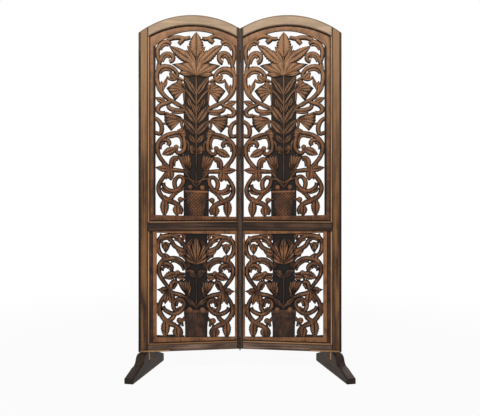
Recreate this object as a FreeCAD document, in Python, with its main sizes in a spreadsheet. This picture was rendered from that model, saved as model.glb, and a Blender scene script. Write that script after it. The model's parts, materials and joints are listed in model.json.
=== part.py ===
import FreeCAD, Part

import math
import os

from FreeCAD import Placement, Rotation, Vector
import Sketcher

# A two-panel folding screen of carved wood. Each panel is a frame of two stiles, an arched top rail,
# a mid rail and a bottom rail round two pierced boards. A splayed foot stands under each outer stile,
# and three butt hinges join the panels. +Z is up, the front faces -Y, and the origin is on the floor
# midway between the feet. The right panel is drawn first, in its own frame: x runs from the hinge line
# out to the open edge, y from front to back with 0 at half thickness, and z up from the floor. The left
# panel is its mirror image.

SIZES = {
    # Whole screen. The fold angle is how far each panel is turned forward from a straight line.
    "fold_angle": 8,
    "panel_width": 525,
    "crown_height": 1840,
    "frame_thickness": 28,
    # Frame members
    "outer_stile_width": 47,
    "meeting_stile_width": 13.5,
    "bottom_rail_height": 35,
    "mid_rail_bottom": 723,
    "mid_rail_height": 43,
    "arch_radius": 470,
    "arch_depth": 51,
    "arch_shift": 6,
    "tenon_thickness": 9,
    "tenon_inset": 12,
    "outer_tenon_length": 22,
    "meeting_tenon_length": 5,
    "joint_clearance": 0.1,
    # Carved boards
    "board_front": 5,
    "board_thickness": 16,
    "tongue_thickness": 8,
    "slat_thickness": 6,
    "outer_groove_depth": 6,
    "meeting_groove_depth": 3,
    "board_play": 0.4,
    "outer_border": 28,
    "meeting_border": 4,
    "lower_opening_inset": 6,
    "lower_outer_border": 20,
    "upper_sill_border": 21,
    "lower_sill_border": 20,
    "lower_head_border": 12,
    "upper_head_border": 25,
    "upper_opening_radius": 345,
    "side_recess": 4,
    "sill_recess": 12,
    "stem_width": 24,
    "tie_width": 13,
    "upper_slat_half_width": 66,
    "lower_slat_half_width": 58,
    # Beads in the recess round the boards
    "bead_width": 9,
    "bead_rise": 10,
    "sill_bead_height": 6,
    "bead_rounding": 2.5,
    # Feet
    "foot_height": 103,
    "foot_length": 440,
    "foot_thickness": 46,
    "foot_splay_angle": 13,
    "foot_inset": 35,
    "foot_top_length": 90,
    "foot_shoulder_reach": 79,
    "foot_shoulder_height": 74,
    "foot_shoulder_radius": 40,
    "foot_cove_reach": 122,
    "foot_cove_height": 54,
    "foot_cove_radius": 45,
    "foot_toe_height": 26,
    "foot_heel_height": 40,
    "foot_tongue_thickness": 18,
    "foot_tongue_depth": 41,
    "cleat_length": 153,
    "cleat_thickness": 9,
    "cleat_margin": 4,
    "cleat_proud": 1.5,
    # Hinges
    "middle_hinge_height": 1126,
    "top_hinge_drop": 209,
    "hinge_length": 52,
    "hinge_gap": 0.1,
    "pin_stand": 0.2,
    "leaf_width": 20,
    "leaf_thickness": 2,
    "knuckle_radius": 4,
    "knuckle_clearance": 0.4,
    "pin_radius": 2,
    "pin_clearance": 0.05,
    "finial_radius": 3.6,
    # Screws
    "screw_radius": 1.7,
    "screw_head_radius": 3.2,
    "screw_clearance": 0.05,
    "leaf_screw_length": 8,
    "leaf_screw_spacing": 17,
    "leaf_screw_stagger": 2,
    "plate_screw_length": 16,
    "cleat_screw_length": 25,
    "cleat_screw_end": 22,
    "cleat_screw_spacing": 55,
    "tongue_screw_length": 75,
}

KNUCKLES = 5

doc = FreeCAD.newDocument("carved_room_divider")
sheet = doc.addObject("Spreadsheet::Sheet", "sizes")
for row, (alias, number) in enumerate(SIZES.items(), start=1):
    sheet.set("A%d" % row, alias)
    sheet.set("B%d" % row, str(number))
    sheet.setAlias("B%d" % row, alias)
doc.recompute()


class Size:
    """A length that keeps its number together with the sheet formula that gives it."""

    def __init__(self, number, formula):
        self.number = number
        self.formula = formula

    def joined(self, sign, other, number):
        formula = other.formula if isinstance(other, Size) else str(other)
        return Size(number, "(%s %s %s)" % (self.formula, sign, formula))

    def __add__(self, other):
        return self.joined("+", other, self.number + plain(other))

    def __sub__(self, other):
        return self.joined("-", other, self.number - plain(other))

    def __mul__(self, other):
        return self.joined("*", other, self.number * plain(other))

    def __truediv__(self, other):
        return self.joined("/", other, self.number / plain(other))

    def __neg__(self):
        return Size(-self.number, "(0 - %s)" % self.formula)


def plain(length):
    return length.number if isinstance(length, Size) else length


def size(alias):
    return Size(float(sheet.get(alias)), "sizes." + alias)


nothing = Size(0.0, "0")


def bind(thing, target, length):
    """Ties one property of a document object to the sheet."""
    thing.setExpression(target, length.formula)


def block(name, across, deep, high):
    """A block between two values on each axis of the panel."""
    box = doc.addObject("Part::Box", name)
    for side, axis, (low, top) in zip(("Length", "Width", "Height"), "xyz", (across, deep, high)):
        bind(box, side, top - low)
        bind(box, "Placement.Base." + axis, low)
    return box


def drum(name, radius, x, z, deep):
    """A cylinder lying front to back, for arched edges."""
    low, top = deep
    cylinder = doc.addObject("Part::Cylinder", name)
    cylinder.Placement = Placement(Vector(), Rotation(Vector(1, 0, 0), -90))
    bind(cylinder, "Radius", radius)
    bind(cylinder, "Height", top - low)
    for axis, place in zip("xyz", (x, low, z)):
        bind(cylinder, "Placement.Base." + axis, place)
    return cylinder


def post(name, radius, x, y, high):
    """An upright cylinder."""
    low, top = high
    cylinder = doc.addObject("Part::Cylinder", name)
    bind(cylinder, "Radius", radius)
    bind(cylinder, "Height", top - low)
    for axis, place in zip("xyz", (x, y, low)):
        bind(cylinder, "Placement.Base." + axis, place)
    return cylinder


def common(name, first, second):
    shared = doc.addObject("Part::Common", name)
    shared.Base = first
    shared.Tool = second
    return shared


def fuse(name, *pieces):
    whole = doc.addObject("Part::MultiFuse", name)
    whole.Shapes = list(pieces)
    whole.Refine = True
    return whole


def cut(name, base, *tools):
    """Takes the tools from the base one after another. The last cut carries the name."""
    for count, tool in enumerate(tools, start=1):
        step = doc.addObject("Part::Cut", name if count == len(tools) else "%s_cut_%d" % (name, count))
        step.Base = base
        step.Tool = tool
        step.Refine = True
        base = step
    return base


def shaped(name, shape):
    """A piece whose shape is worked out below from the sheet's numbers."""
    feature = doc.addObject("Part::Feature", name)
    feature.Shape = shape
    return feature


# Lines that several pieces share, in the panel's frame

front = -(size("frame_thickness") / 2)
back = size("frame_thickness") / 2
meeting_edge = size("hinge_gap")
meeting_inner = meeting_edge + size("meeting_stile_width")
open_edge = size("panel_width")
outer_inner = open_edge - size("outer_stile_width")
frame_bottom = size("foot_height")
bottom_rail_top = frame_bottom + size("bottom_rail_height")
mid_rail_top = size("mid_rail_bottom") + size("mid_rail_height")

opening_inner = meeting_inner + size("meeting_border")
field_outer = outer_inner - size("bead_width") - size("side_recess")
opening_outer = field_outer - size("outer_border")
carving_axis = (opening_inner + opening_outer) / 2
arch_axis = carving_axis + size("arch_shift")

crown = size("crown_height")
arch_centre = crown - size("arch_radius")
under_centre = arch_centre - size("arch_depth")

board_face = front + size("board_front")
board_back = board_face + size("board_thickness")
tongue_face = board_back - size("tongue_thickness")

hinge_line = front - size("pin_stand")
foot_x = open_edge - size("foot_inset")

fold = math.radians(plain(size("fold_angle")))
hinge_depth = plain(foot_x) * math.sin(fold) + plain(hinge_line) * math.cos(fold)
panel_place = (
    Placement(Vector(0, hinge_depth, 0), Rotation(Vector(0, 0, 1), -plain(size("fold_angle"))))
    * Placement(Vector(0, -plain(hinge_line), 0), Rotation())
)

sub_parts = []
OTHER_SIDE = "left_"
THIS_SIDE = "right_"


def mirrored(name, source):
    """The left-hand copy of a right-hand piece."""
    copy = doc.addObject("Part::Mirroring", name)
    copy.Source = source
    copy.Normal = Vector(1, 0, 0)
    copy.Base = Vector(0, 0, 0)
    copy.Label = name
    sub_parts.append(copy)


def pair(piece, name, place=panel_place):
    """Stands a finished right-hand piece in its panel and makes its left-hand twin."""
    piece.Placement = place
    piece.Label = THIS_SIDE + name
    sub_parts.append(piece)
    mirrored(OTHER_SIDE + name, piece)


# Frame blank: the outline of the whole frame, from which the members are cut

whole_depth = (front, back)
blank_low = block("blank_low", (meeting_edge, open_edge), whole_depth, (frame_bottom, arch_centre))
blank_high = block("blank_high", (meeting_edge, open_edge), whole_depth, (arch_centre, crown))
arch_top = drum("arch_top", size("arch_radius"), arch_axis, arch_centre, whole_depth)
arch_under = drum("arch_under", size("arch_radius"), arch_axis, under_centre, whole_depth)
blank = fuse("frame_blank", blank_low, common("blank_arch", blank_high, arch_top))

# Grooves: the space for the tongues of the two carved boards, cut in every member round them

play = size("board_play")
groove_deep = (tongue_face - play, board_back + play)
groove_wide = (meeting_inner - size("meeting_groove_depth"), outer_inner + size("outer_groove_depth"))
groove = size("outer_groove_depth")
upper_groove = fuse(
    "upper_groove",
    block("upper_groove_low", groove_wide, groove_deep, (mid_rail_top - groove, under_centre)),
    common(
        "upper_groove_head",
        block("upper_groove_high", groove_wide, groove_deep, (under_centre, crown)),
        drum("upper_groove_arch", size("arch_radius") + groove, arch_axis, under_centre, groove_deep),
    ),
)
lower_groove = block(
    "lower_groove", groove_wide, groove_deep, (bottom_rail_top - groove, size("mid_rail_bottom") + groove)
)

# Tenons: each rail has a tenon at both ends, and the stiles have mortises for them

half_tenon = size("tenon_thickness") / 2
inset = size("tenon_inset")
fit = size("joint_clearance")


def tenon_space(name, high, spare):
    """Both tenons of a straight rail as one bar, or their mortises where spare is the clearance."""
    across = (
        meeting_inner - size("meeting_tenon_length") - spare,
        outer_inner + size("outer_tenon_length") + spare,
    )
    low, top = high
    deep = (-half_tenon - spare, half_tenon + spare)
    return block(name, across, deep, (low + inset - spare, top - inset + spare))


def arch_tenon_space(name, spare):
    """The same for the arched rail: a thinner band inside the arch."""
    across = (
        meeting_inner - size("meeting_tenon_length") - spare,
        outer_inner + size("outer_tenon_length") + spare,
    )
    deep = (-half_tenon - spare, half_tenon + spare)
    bar = block(name + "_bar", across, deep, (arch_centre, crown))
    top = drum(name + "_top", size("arch_radius") - inset + spare, arch_axis, arch_centre, deep)
    under = drum(name + "_under", size("arch_radius") + inset - spare, arch_axis, under_centre, deep)
    return cut(name, common(name + "_inside", bar, top), under)


rails = {
    "bottom": (frame_bottom, bottom_rail_top),
    "mid": (size("mid_rail_bottom"), mid_rail_top),
}
mortises = [tenon_space(name + "_mortise", high, fit) for name, high in rails.items()]
mortises.append(arch_tenon_space("arch_mortise", fit))

# Cleat: a pale strip let in under the outer end of the frame, to which the tongue of the foot is screwed

cleat_end = foot_x + size("foot_thickness") / 2 + size("cleat_margin")
cleat_across = (cleat_end - size("cleat_length"), cleat_end)
cleat_high = (frame_bottom, frame_bottom + size("cleat_thickness"))
cleat_notch = block("cleat_notch", cleat_across, whole_depth, cleat_high)
cleat_deep = (front - size("cleat_proud"), back + size("cleat_proud"))
cleat_bar = block("cleat_bar", cleat_across, cleat_deep, cleat_high)

# Screws: countersunk, drawn point downwards along -Z from the head's flat face at the origin


def screw(length, head_at, direction, spare=0.0):
    """One countersunk screw, or its hole where spare is the clearance all round."""
    shank = plain(size("screw_radius")) + spare
    head = plain(size("screw_head_radius")) + spare
    taper = head - shank
    cone = Part.makeCone(head, shank, taper, head_at, direction)
    rod = Part.makeCylinder(shank, length + spare, head_at, direction)
    return cone.fuse(rod).removeSplitter()


def screws(places, length, spare=0.0):
    return Part.makeCompound([screw(length, place, way, spare) for place, way in places])


hole_spare = plain(size("screw_clearance"))
half_leaf = size("hinge_length") / 2
hinge_heights = {
    "bottom": frame_bottom + half_leaf,
    "middle": size("middle_hinge_height"),
    "top": crown - size("top_hinge_drop"),
}
plate_heights = {**hinge_heights, "bottom": cleat_high[1] + half_leaf}
leaf_middle = plain(front + size("leaf_width") / 2)
outward = Vector(1, 0, 0)
inward = Vector(-1, 0, 0)
upward = Vector(0, 0, 1)
spread = plain(size("leaf_screw_spacing"))
stagger = plain(size("leaf_screw_stagger"))


def screw_places(heights, x, y, way):
    """Three staggered screws in each leaf, with the way that they point."""
    places = []
    for middle in heights.values():
        for step in (-1, 0, 1):
            shift = stagger * (0.5 - step ** 2)
            places.append((Vector(plain(x), y + shift, plain(middle) + step * spread), way))
    return places


leaf_screw_places = screw_places(hinge_heights, meeting_edge, leaf_middle, outward)
plate_screw_places = screw_places(plate_heights, open_edge, 0.0, inward)
leaf_screw_length = plain(size("leaf_screw_length"))
plate_screw_length = plain(size("plate_screw_length"))
leaf_screw_holes = shaped("leaf_screw_holes", screws(leaf_screw_places, leaf_screw_length, hole_spare))
plate_screw_holes = shaped(
    "plate_screw_holes", screws(plate_screw_places, plate_screw_length, hole_spare)
)

first_screw_x = cleat_across[0] + size("cleat_screw_end")
cleat_screw_x = [plain(first_screw_x), plain(first_screw_x + size("cleat_screw_spacing"))]
cleat_screw_places = [(Vector(x, 0, plain(frame_bottom)), upward) for x in cleat_screw_x]
tongue_screw_place = [(Vector(plain(foot_x), 0, plain(frame_bottom - size("foot_tongue_depth"))), upward)]
cleat_screw_shape = screws(cleat_screw_places, plain(size("cleat_screw_length")))
tongue_screw_shape = screws(tongue_screw_place, plain(size("tongue_screw_length")))
foot_screw_holes = shaped(
    "foot_screw_holes",
    Part.makeCompound([
        screws(cleat_screw_places, plain(size("cleat_screw_length")), hole_spare),
        screws(tongue_screw_place, plain(size("tongue_screw_length")), hole_spare),
    ]),
)

# Leaf mortises: the shallow seats of the hinge leaves and of the spare leaves on the open edge, and the
# round hollows that take the knuckles and finials

leaf_deep = (front, front + size("leaf_width"))
plate_deep = (-(size("leaf_width") / 2), size("leaf_width") / 2)


def leaf_blocks(name, across, deep, heights):
    seats = []
    for count, middle in enumerate(heights.values(), start=1):
        high = (middle - half_leaf, middle + half_leaf)
        seats.append(block("%s_%d" % (name, count), across, deep, high))
    return seats


leaf_across = (meeting_edge, meeting_edge + size("leaf_thickness"))
plate_across = (open_edge - size("leaf_thickness"), open_edge)
leaf_seats = leaf_blocks("leaf_seat", leaf_across, leaf_deep, hinge_heights)
plate_seats = leaf_blocks("plate_seat", plate_across, plate_deep, plate_heights)
finial_reach = half_leaf + size("finial_radius") + size("knuckle_clearance")
hollow_reach = finial_reach + size("finial_radius") + size("knuckle_clearance")


def knuckle_hollow(name, middle):
    radius = size("knuckle_radius") + size("knuckle_clearance")
    return post(name, radius, nothing, hinge_line, (middle - hollow_reach, middle + hollow_reach))


knuckle_hollows = [knuckle_hollow(name + "_hollow", middle) for name, middle in hinge_heights.items()]

# Stiles

outer_strip = block("outer_strip", (outer_inner, open_edge), whole_depth, (frame_bottom, crown))
outer_stile = cut(
    "outer_stile",
    common("outer_stile_blank", blank, outer_strip),
    upper_groove, lower_groove, *mortises, cleat_notch, *plate_seats, plate_screw_holes, foot_screw_holes,
)
pair(outer_stile, "outer_stile")

meeting_strip = block("meeting_strip", (meeting_edge, meeting_inner), whole_depth, (frame_bottom, crown))
meeting_stile = cut(
    "meeting_stile",
    common("meeting_stile_blank", blank, meeting_strip),
    upper_groove, lower_groove, *mortises, *leaf_seats, *knuckle_hollows, leaf_screw_holes,
)
pair(meeting_stile, "meeting_stile")

# Rails

between_stiles = (meeting_inner, outer_inner)
arch_block = block("arch_block", between_stiles, whole_depth, (arch_centre, crown))
arch_body = cut("arch_body", common("arch_band", arch_block, arch_top), arch_under)
arch_with_tenons = fuse("arch_with_tenons", arch_body, arch_tenon_space("arch_tenon", nothing))
pair(cut("arch_rail", arch_with_tenons, upper_groove), "arched_top_rail")

for rail, high in rails.items():
    body = block(rail + "_rail_body", between_stiles, whole_depth, high)
    with_tenons = fuse(rail + "_rail_blank", body, tenon_space(rail + "_tenon", high, nothing))
    if rail == "mid":
        tools = [upper_groove, lower_groove]
    else:
        tools = [lower_groove, cleat_notch, foot_screw_holes]
    pair(cut(rail + "_rail", with_tenons, *tools), rail + "_rail")

# Beads: half-round strips on the outer stile and the rails, in front of the boards' tongues

bead_face = tongue_face - size("bead_rise")


def bead(name, across, high, long_edges):
    """A strip with the two front edges rounded. The edges run along the axis that long_edges names."""
    bar = block(name + "_bar", across, (bead_face, tongue_face), high)
    doc.recompute()
    rounded = doc.addObject("Part::Fillet", name + "_round")
    rounded.Base = bar
    radius = plain(size("bead_rounding"))
    chosen = []
    for number, edge in enumerate(bar.Shape.Edges, start=1):
        run = edge.Vertexes[1].Point - edge.Vertexes[0].Point
        in_front = edge.CenterOfMass.y < plain(bead_face) + radius / 2
        if in_front and abs(getattr(run, long_edges)) > edge.Length / 2:
            chosen.append((number, radius, radius))
    rounded.Edges = chosen
    return rounded


bead_across = (outer_inner - size("bead_width"), outer_inner)
sill_across = (meeting_inner, outer_inner - size("bead_width"))
sill = size("sill_bead_height")
tall_bead = bead("tall_bead", bead_across, (mid_rail_top, crown), "z")
pair(cut("upper_side_bead", common("bead_under_crown", tall_bead, blank), arch_body), "upper_side_bead")
low_bead_high = (bottom_rail_top, size("mid_rail_bottom"))
pair(bead("lower_side_bead", bead_across, low_bead_high, "z"), "lower_side_bead")
for name, rail_top in (("upper_sill_bead", mid_rail_top), ("lower_sill_bead", bottom_rail_top)):
    pair(bead(name, sill_across, (rail_top, rail_top + sill), "x"), name)

# Carved boards. The motifs are drawn on one half of the board in millimetres: the first number is the
# distance from the board's upright axis and the second the height above the sill of the opening. The
# whole drawing is stretched to the opening it fills, and the board is pierced wherever no motif lies,
# apart from gaps of a few square millimetres, which no saw blade enters. A stem is a smooth band that
# thins towards its ends. A leaf is given by its base, its tip and its width, and a fan, which is a lobed
# leaf or a palmette, by its hub and the points of its rim.

STEM_END_SHARE = 0.6
BEND_SHARE = 0.8
STATIONS_PER_POINT = 3
SMALLEST_PIERCING = 25

# The carving hangs a little towards the meeting stile, and below its drawn place
DRAWING_TILT = 0.03
DRAWING_DROP = 4

UPPER_DRAWING = (210, 963)
UPPER_STEMS = [
    [
        (60, 560), (104, 587), (140, 604), (165, 624), (185, 653), (199, 685), (203, 716),
        (200, 742), (186, 762), (158, 774), (127, 769), (107, 753), (98, 732), (108, 714),
    ],
    [(189, 790), (197, 819), (200, 847), (194, 870), (177, 891), (152, 901), (130, 890)],
    [(190, 788), (181, 814), (169, 832), (148, 840), (128, 834), (119, 820), (126, 806), (140, 800)],
    [(155, 902), (139, 915), (114, 925), (86, 927), (60, 924), (30, 932)],
    [(62, 924), (77, 909), (91, 893)],
    [(128, 597), (150, 586), (178, 576), (196, 559), (197, 543), (184, 533), (160, 535)],
    [(60, 552), (98, 551), (124, 554), (140, 562), (146, 576)],
    [(212, 506), (193, 491), (182, 472), (178, 449), (186, 427), (212, 430)],
    [
        (60, 448), (98, 434), (130, 427), (162, 413), (186, 392),
        (199, 366), (199, 335), (187, 304), (162, 273), (136, 246),
    ],
    [(183, 388), (162, 394), (146, 390), (140, 378), (148, 366)],
    [(72, 440), (66, 415), (60, 385), (60, 356), (72, 336), (92, 328), (105, 340)],
    [(132, 240), (129, 262), (129, 280), (121, 297), (104, 304), (93, 294)],
    [(150, 242), (112, 240), (58, 236)],
    [
        (145, 236), (171, 199), (188, 172), (195, 144), (187, 115), (168, 93),
        (142, 79), (114, 69), (90, 55), (78, 36), (84, 12),
    ],
    [
        (170, 174), (167, 156), (152, 140), (124, 131), (98, 136),
        (80, 153), (67, 178), (68, 198), (86, 208), (104, 200),
    ],
    [(98, 204), (111, 184), (111, 158), (103, 136)],
    [(108, 128), (123, 104), (142, 84)],
]
UPPER_LEAVES = [
    ((0, 830), (0, 967), 76),
    ((6, 788), (140, 880), 72),
    ((6, 796), (54, 866), 44),
    ((14, 846), (47, 888), 24),
    ((100, 712), (141, 744), 36),
    ((172, 648), (181, 699), 28),
    ((168, 660), (152, 718), 22),
    ((156, 587), (212, 612), 32),
    ((104, 352), (178, 318), 44),
    ((131, 240), (212, 251), 34),
    ((142, 246), (180, 276), 26),
    ((138, 244), (130, 184), 42),
    ((148, 228), (157, 188), 24),
    ((163, 94), (165, -4), 46),
    ((104, 62), (98, 0), 42),
]
UPPER_FANS = [
    ((0, 736), [(60, 727), (94, 741), (80, 758), (128, 789), (84, 797), (46, 808), (0, 822)]),
    ((190, 748), [(208, 762), (204, 790), (181, 785), (158, 789), (168, 764)]),
    (
        (60, 657),
        [
            (68, 692), (86, 714), (98, 711), (104, 697), (126, 686), (155, 663),
            (140, 641), (124, 620), (112, 597), (98, 610), (90, 627), (68, 645),
        ],
    ),
    (
        (68, 505),
        [
            (84, 522), (111, 530), (135, 535), (156, 541), (168, 531), (165, 507), (166, 495),
            (158, 474), (145, 458), (130, 441), (121, 459), (108, 471), (94, 483), (80, 494),
        ],
    ),
    ((94, 436), [(100, 449), (78, 461), (58, 450), (44, 424), (52, 408), (70, 410), (86, 421)]),
    (
        (40, 244),
        [
            (62, 242), (76, 262), (88, 290), (99, 315), (82, 318),
            (66, 323), (50, 324), (32, 324), (27, 300), (26, 262),
        ],
    ),
]
UPPER_BUDS = [((104, 359), 14), ((82, 88), 15)]
UPPER_TIES = [
    [(82, 88), (92, 54)], [(82, 88), (54, 92)], [(104, 359), (96, 330)], [(184, 478), (158, 478)],
    [(187, 735), (178, 748), (162, 757), (144, 757), (124, 750)],
    [(174, 796), (168, 812), (158, 824), (145, 827), (137, 817)],
    [(184, 857), (175, 875), (160, 885), (142, 883)],
    [(98, 714), (120, 707), (140, 711), (152, 722)],
    [(66, 704), (84, 714), (100, 722)],
    [(66, 574), (92, 574), (122, 590)],
    [(66, 541), (98, 538), (128, 540)],
    [(72, 506), (77, 482), (70, 456)],
    [(144, 408), (126, 411), (105, 417), (87, 413), (78, 396), (76, 372), (83, 352)],
    [(184, 344), (184, 362), (175, 376), (160, 379)],
    [(114, 258), (114, 277), (108, 291), (95, 295)],
    [(180, 147), (167, 131), (147, 124), (131, 120)],
    [(108, 113), (95, 127), (79, 137), (66, 145)],
    [(176, 625), (195, 655), (206, 690)],
    [(166, 106), (146, 91), (116, 80), (96, 70)],
]
UPPER_POT = [(0, 137), (60, 137), (60, 124), (48, 60), (37, 12), (42, -4), (0, -4)]
UPPER_SLAT_TOP = 748

LOWER_DRAWING = (204, 539)
LOWER_STEMS = [
    [(199, 470), (196, 495), (187, 511), (170, 521), (143, 527), (113, 526), (86, 511), (67, 487), (54, 460)],
    [(141, 520), (126, 497), (114, 477), (94, 464), (56, 453)],
    [(192, 500), (197, 478), (195, 452), (183, 430), (160, 416)],
    [
        (52, 360), (67, 388), (87, 404), (112, 411), (141, 407), (170, 397),
        (187, 378), (193, 353), (190, 328), (179, 306), (161, 281), (138, 250),
    ],
    [(178, 372), (158, 383), (138, 376), (127, 360), (134, 346)],
    [(134, 236), (131, 262), (124, 282), (110, 290), (96, 281)],
    [(146, 242), (112, 228), (84, 222), (50, 208)],
    [
        (143, 242), (167, 209), (184, 179), (189, 147), (180, 115), (162, 90),
        (140, 73), (109, 61), (87, 46), (78, 25), (86, 6),
    ],
    [
        (171, 162), (165, 146), (149, 134), (118, 124), (92, 131),
        (73, 149), (61, 171), (66, 191), (86, 201), (106, 195),
    ],
    [(102, 198), (117, 180), (117, 156), (104, 134)],
    [(110, 121), (124, 100), (148, 84)],
]
LOWER_LEAVES = [
    ((170, 504), (186, 538), 28),
    ((56, 542), (138, 537), 26),
    ((60, 540), (70, 502), 24),
    ((150, 394), (167, 437), 44),
    ((50, 436), (106, 455), 40),
    ((98, 334), (171, 308), 46),
    ((54, 312), (102, 316), 34),
    ((136, 242), (124, 172), 42),
    ((150, 230), (163, 172), 28),
    ((158, 94), (161, -4), 46),
    ((104, 58), (98, -2), 44),
]
LOWER_FANS = [
    ((157, 496), [(183, 489), (179, 466), (158, 434), (141, 458), (131, 487)]),
    (
        (0, 384),
        [(58, 390), (63, 430), (56, 458), (62, 496), (36, 494), (28, 478), (18, 512), (0, 527)],
    ),
    ((144, 242), [(156, 262), (175, 263), (186, 254), (205, 247), (188, 236), (178, 224), (162, 227)]),
    (
        (44, 222),
        [
            (64, 232), (80, 252), (92, 274), (99, 292), (84, 299),
            (68, 296), (56, 304), (42, 296), (28, 299), (24, 240),
        ],
    ),
]
LOWER_BUDS = [((97, 336), 15), ((87, 90), 16)]
LOWER_TIES = [
    [(97, 336), (50, 331)], [(97, 332), (110, 288)], [(87, 90), (87, 44)], [(87, 90), (54, 94)],
    [(194, 474), (205, 440)],
    [(182, 489), (176, 502), (160, 511), (145, 510), (138, 500)],
    [(114, 510), (90, 501), (72, 476)],
    [(90, 427), (72, 424), (56, 406)],
    [(132, 392), (114, 396), (93, 388), (76, 373), (65, 349)],
    [(126, 398), (108, 402), (88, 396), (68, 380)],
    [(174, 344), (171, 359), (157, 367), (142, 358)],
    [(119, 251), (111, 266), (101, 277)],
    [(101, 163), (99, 181), (85, 190), (74, 179)],
    [(80, 160), (92, 150), (108, 146)],
    [(178, 126), (160, 98), (136, 82), (106, 70)],
    [(196, 180), (200, 147), (192, 112)],
    [(60, 108), (74, 84), (70, 60)],
]
LOWER_POT = [(0, 147), (65, 147), (65, 128), (58, 60), (54, -4), (0, -4)]
LOWER_SLAT_TOP = 545


def outline_face(x_low, x_high, z_low, z_high, arch=None):
    """A rectangle, or one with an arched head where arch is its radius and axis and z_high its crown."""
    feet = [Vector(x_low, 0, z_low), Vector(x_high, 0, z_low)]
    if arch is None:
        heads = [Vector(x_high, 0, z_high), Vector(x_low, 0, z_high)]
        return Part.Face(Part.makePolygon(feet + heads + feet[:1]))
    radius, middle = arch
    rise = [z_high - radius + math.sqrt(radius ** 2 - (x - middle) ** 2) for x in (x_high, x_low)]
    heads = [Vector(x_high, 0, rise[0]), Vector(x_low, 0, rise[1])]
    head = Part.Arc(heads[0], Vector(middle, 0, z_high), heads[1]).toShape()
    sides = [Part.makeLine(*ends) for ends in (feet, (feet[1], heads[0]), (heads[1], feet[0]))]
    return Part.Face(Part.Wire(Part.sortEdges(sides + [head])[0]))


def stem_face(points, width):
    """A band along a smooth line through the points, finer at its ends and in a tight bend."""
    line = Part.BSplineCurve()
    line.interpolate(points)
    stations = STATIONS_PER_POINT * len(points)
    edges = ([], [])
    for number in range(stations + 1):
        share = number / stations
        at = line.FirstParameter + share * (line.LastParameter - line.FirstParameter)
        along = line.tangent(at)[0]
        fullness = STEM_END_SHARE + (1 - STEM_END_SHARE) * math.sin(math.pi * share)
        half = min(width / 2 * fullness, BEND_SHARE / max(line.curvature(at), 1 / line.length()))
        aside = Vector(-along.z, 0, along.x) * half
        edges[0].append(line.value(at) + aside)
        edges[1].append(line.value(at) - aside)
    sides = []
    for edge in edges:
        side = Part.BSplineCurve()
        side.interpolate(edge)
        sides.append(side.toShape())
    caps = [Part.makeLine(edges[0][end], edges[1][end]) for end in (0, -1)]
    return Part.Face(Part.Wire(Part.sortEdges(sides + caps)[0]))


def leaf_face(base, tip, width):
    """A leaf between two arcs."""
    along = tip - base
    aside = Vector(-along.z, 0, along.x).normalize() * (width / 2)
    belly = base + along * 0.5
    sides = [Part.Arc(base, belly + turn * aside, tip).toShape() for turn in (1, -1)]
    return Part.Face(Part.Wire(Part.sortEdges(sides)[0]))


def bud_face(centre, radius):
    return Part.Face(Part.Wire(Part.makeCircle(radius, centre, Vector(0, 1, 0))))


def cornered_face(points):
    return Part.Face(Part.makePolygon(points + points[:1]))


def slab(face, start, thickness):
    """A flat face of the drawing made into wood, from the depth start backwards."""
    wood = face.extrude(Vector(0, plain(thickness), 0))
    wood.translate(Vector(0, plain(start), 0))
    return wood


def motif_faces(motifs, stretch):
    """The outlines of all the motifs on both halves of the board, stretched to the opening."""
    stems, leaves, fans, buds, ties, pot = motifs
    stem_width = plain(size("stem_width"))
    tie_width = plain(size("tie_width"))
    faces = []
    for hand in (1, -1):

        def place(point, hand=hand):
            return Vector(hand * point[0], 0, point[1])

        faces += [stem_face([place(point) for point in stem], stem_width) for stem in stems]
        faces += [leaf_face(place(base), place(tip), width) for base, tip, width in leaves]
        faces += [cornered_face([place(point) for point in [hub, *rim]]) for hub, rim in fans]
        faces += [bud_face(place(centre), radius) for centre, radius in buds]
        faces += [stem_face([place(end) for end in tie], tie_width) for tie in ties]
        faces.append(cornered_face([place(point) for point in pot]))
    stretched = [face.transformGeometry(stretch).Wires for face in faces]
    return [Part.makeFace(wires, "Part::FaceMakerBullseye") for wires in stretched]


def carved_board(name, drawing, motifs, opening, field, tongue, slat):
    """A pierced board: raised border and motifs, a thinner tongue round them, a slat behind the middle."""
    opening_x, opening_z, opening_arch = opening
    half = (opening_x[1] - opening_x[0]) / 2
    middle = plain(carving_axis)
    stretch_z = (opening_z[1] - opening_z[0]) / drawing[1]
    stretch = FreeCAD.Matrix()
    stretch.scale(half / drawing[0], 1, stretch_z)
    stretch.A31 = DRAWING_TILT
    stretch.move(middle, 0, opening_z[0] - DRAWING_DROP)
    window = outline_face(*opening_x, *opening_z, opening_arch)
    left_open = window.cut(motif_faces(motifs, stretch)).Faces
    piercings = [hole.OuterWire for hole in left_open if hole.Area > SMALLEST_PIERCING]
    edge = outline_face(*field[0], *field[1], field[2]).OuterWire
    crest = Part.makeFace([edge, *piercings], "Part::FaceMakerBullseye")
    carving = slab(crest, board_face, size("board_thickness"))
    rim_face = outline_face(*tongue[0], *tongue[1], tongue[2]).cut(window)
    rim = slab(rim_face, tongue_face, size("tongue_thickness"))
    slat_half, slat_top = slat
    slat_low = (opening_z[0] + field[1][0]) / 2
    slat_high = opening_z[0] + slat_top * stretch_z
    slat_face = outline_face(middle - slat_half, middle + slat_half, slat_low, slat_high)
    back_slat = slab(slat_face, board_back - size("slat_thickness"), size("slat_thickness"))
    return shaped(name, rim.fuse([carving, back_slat]).removeSplitter())


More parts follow.
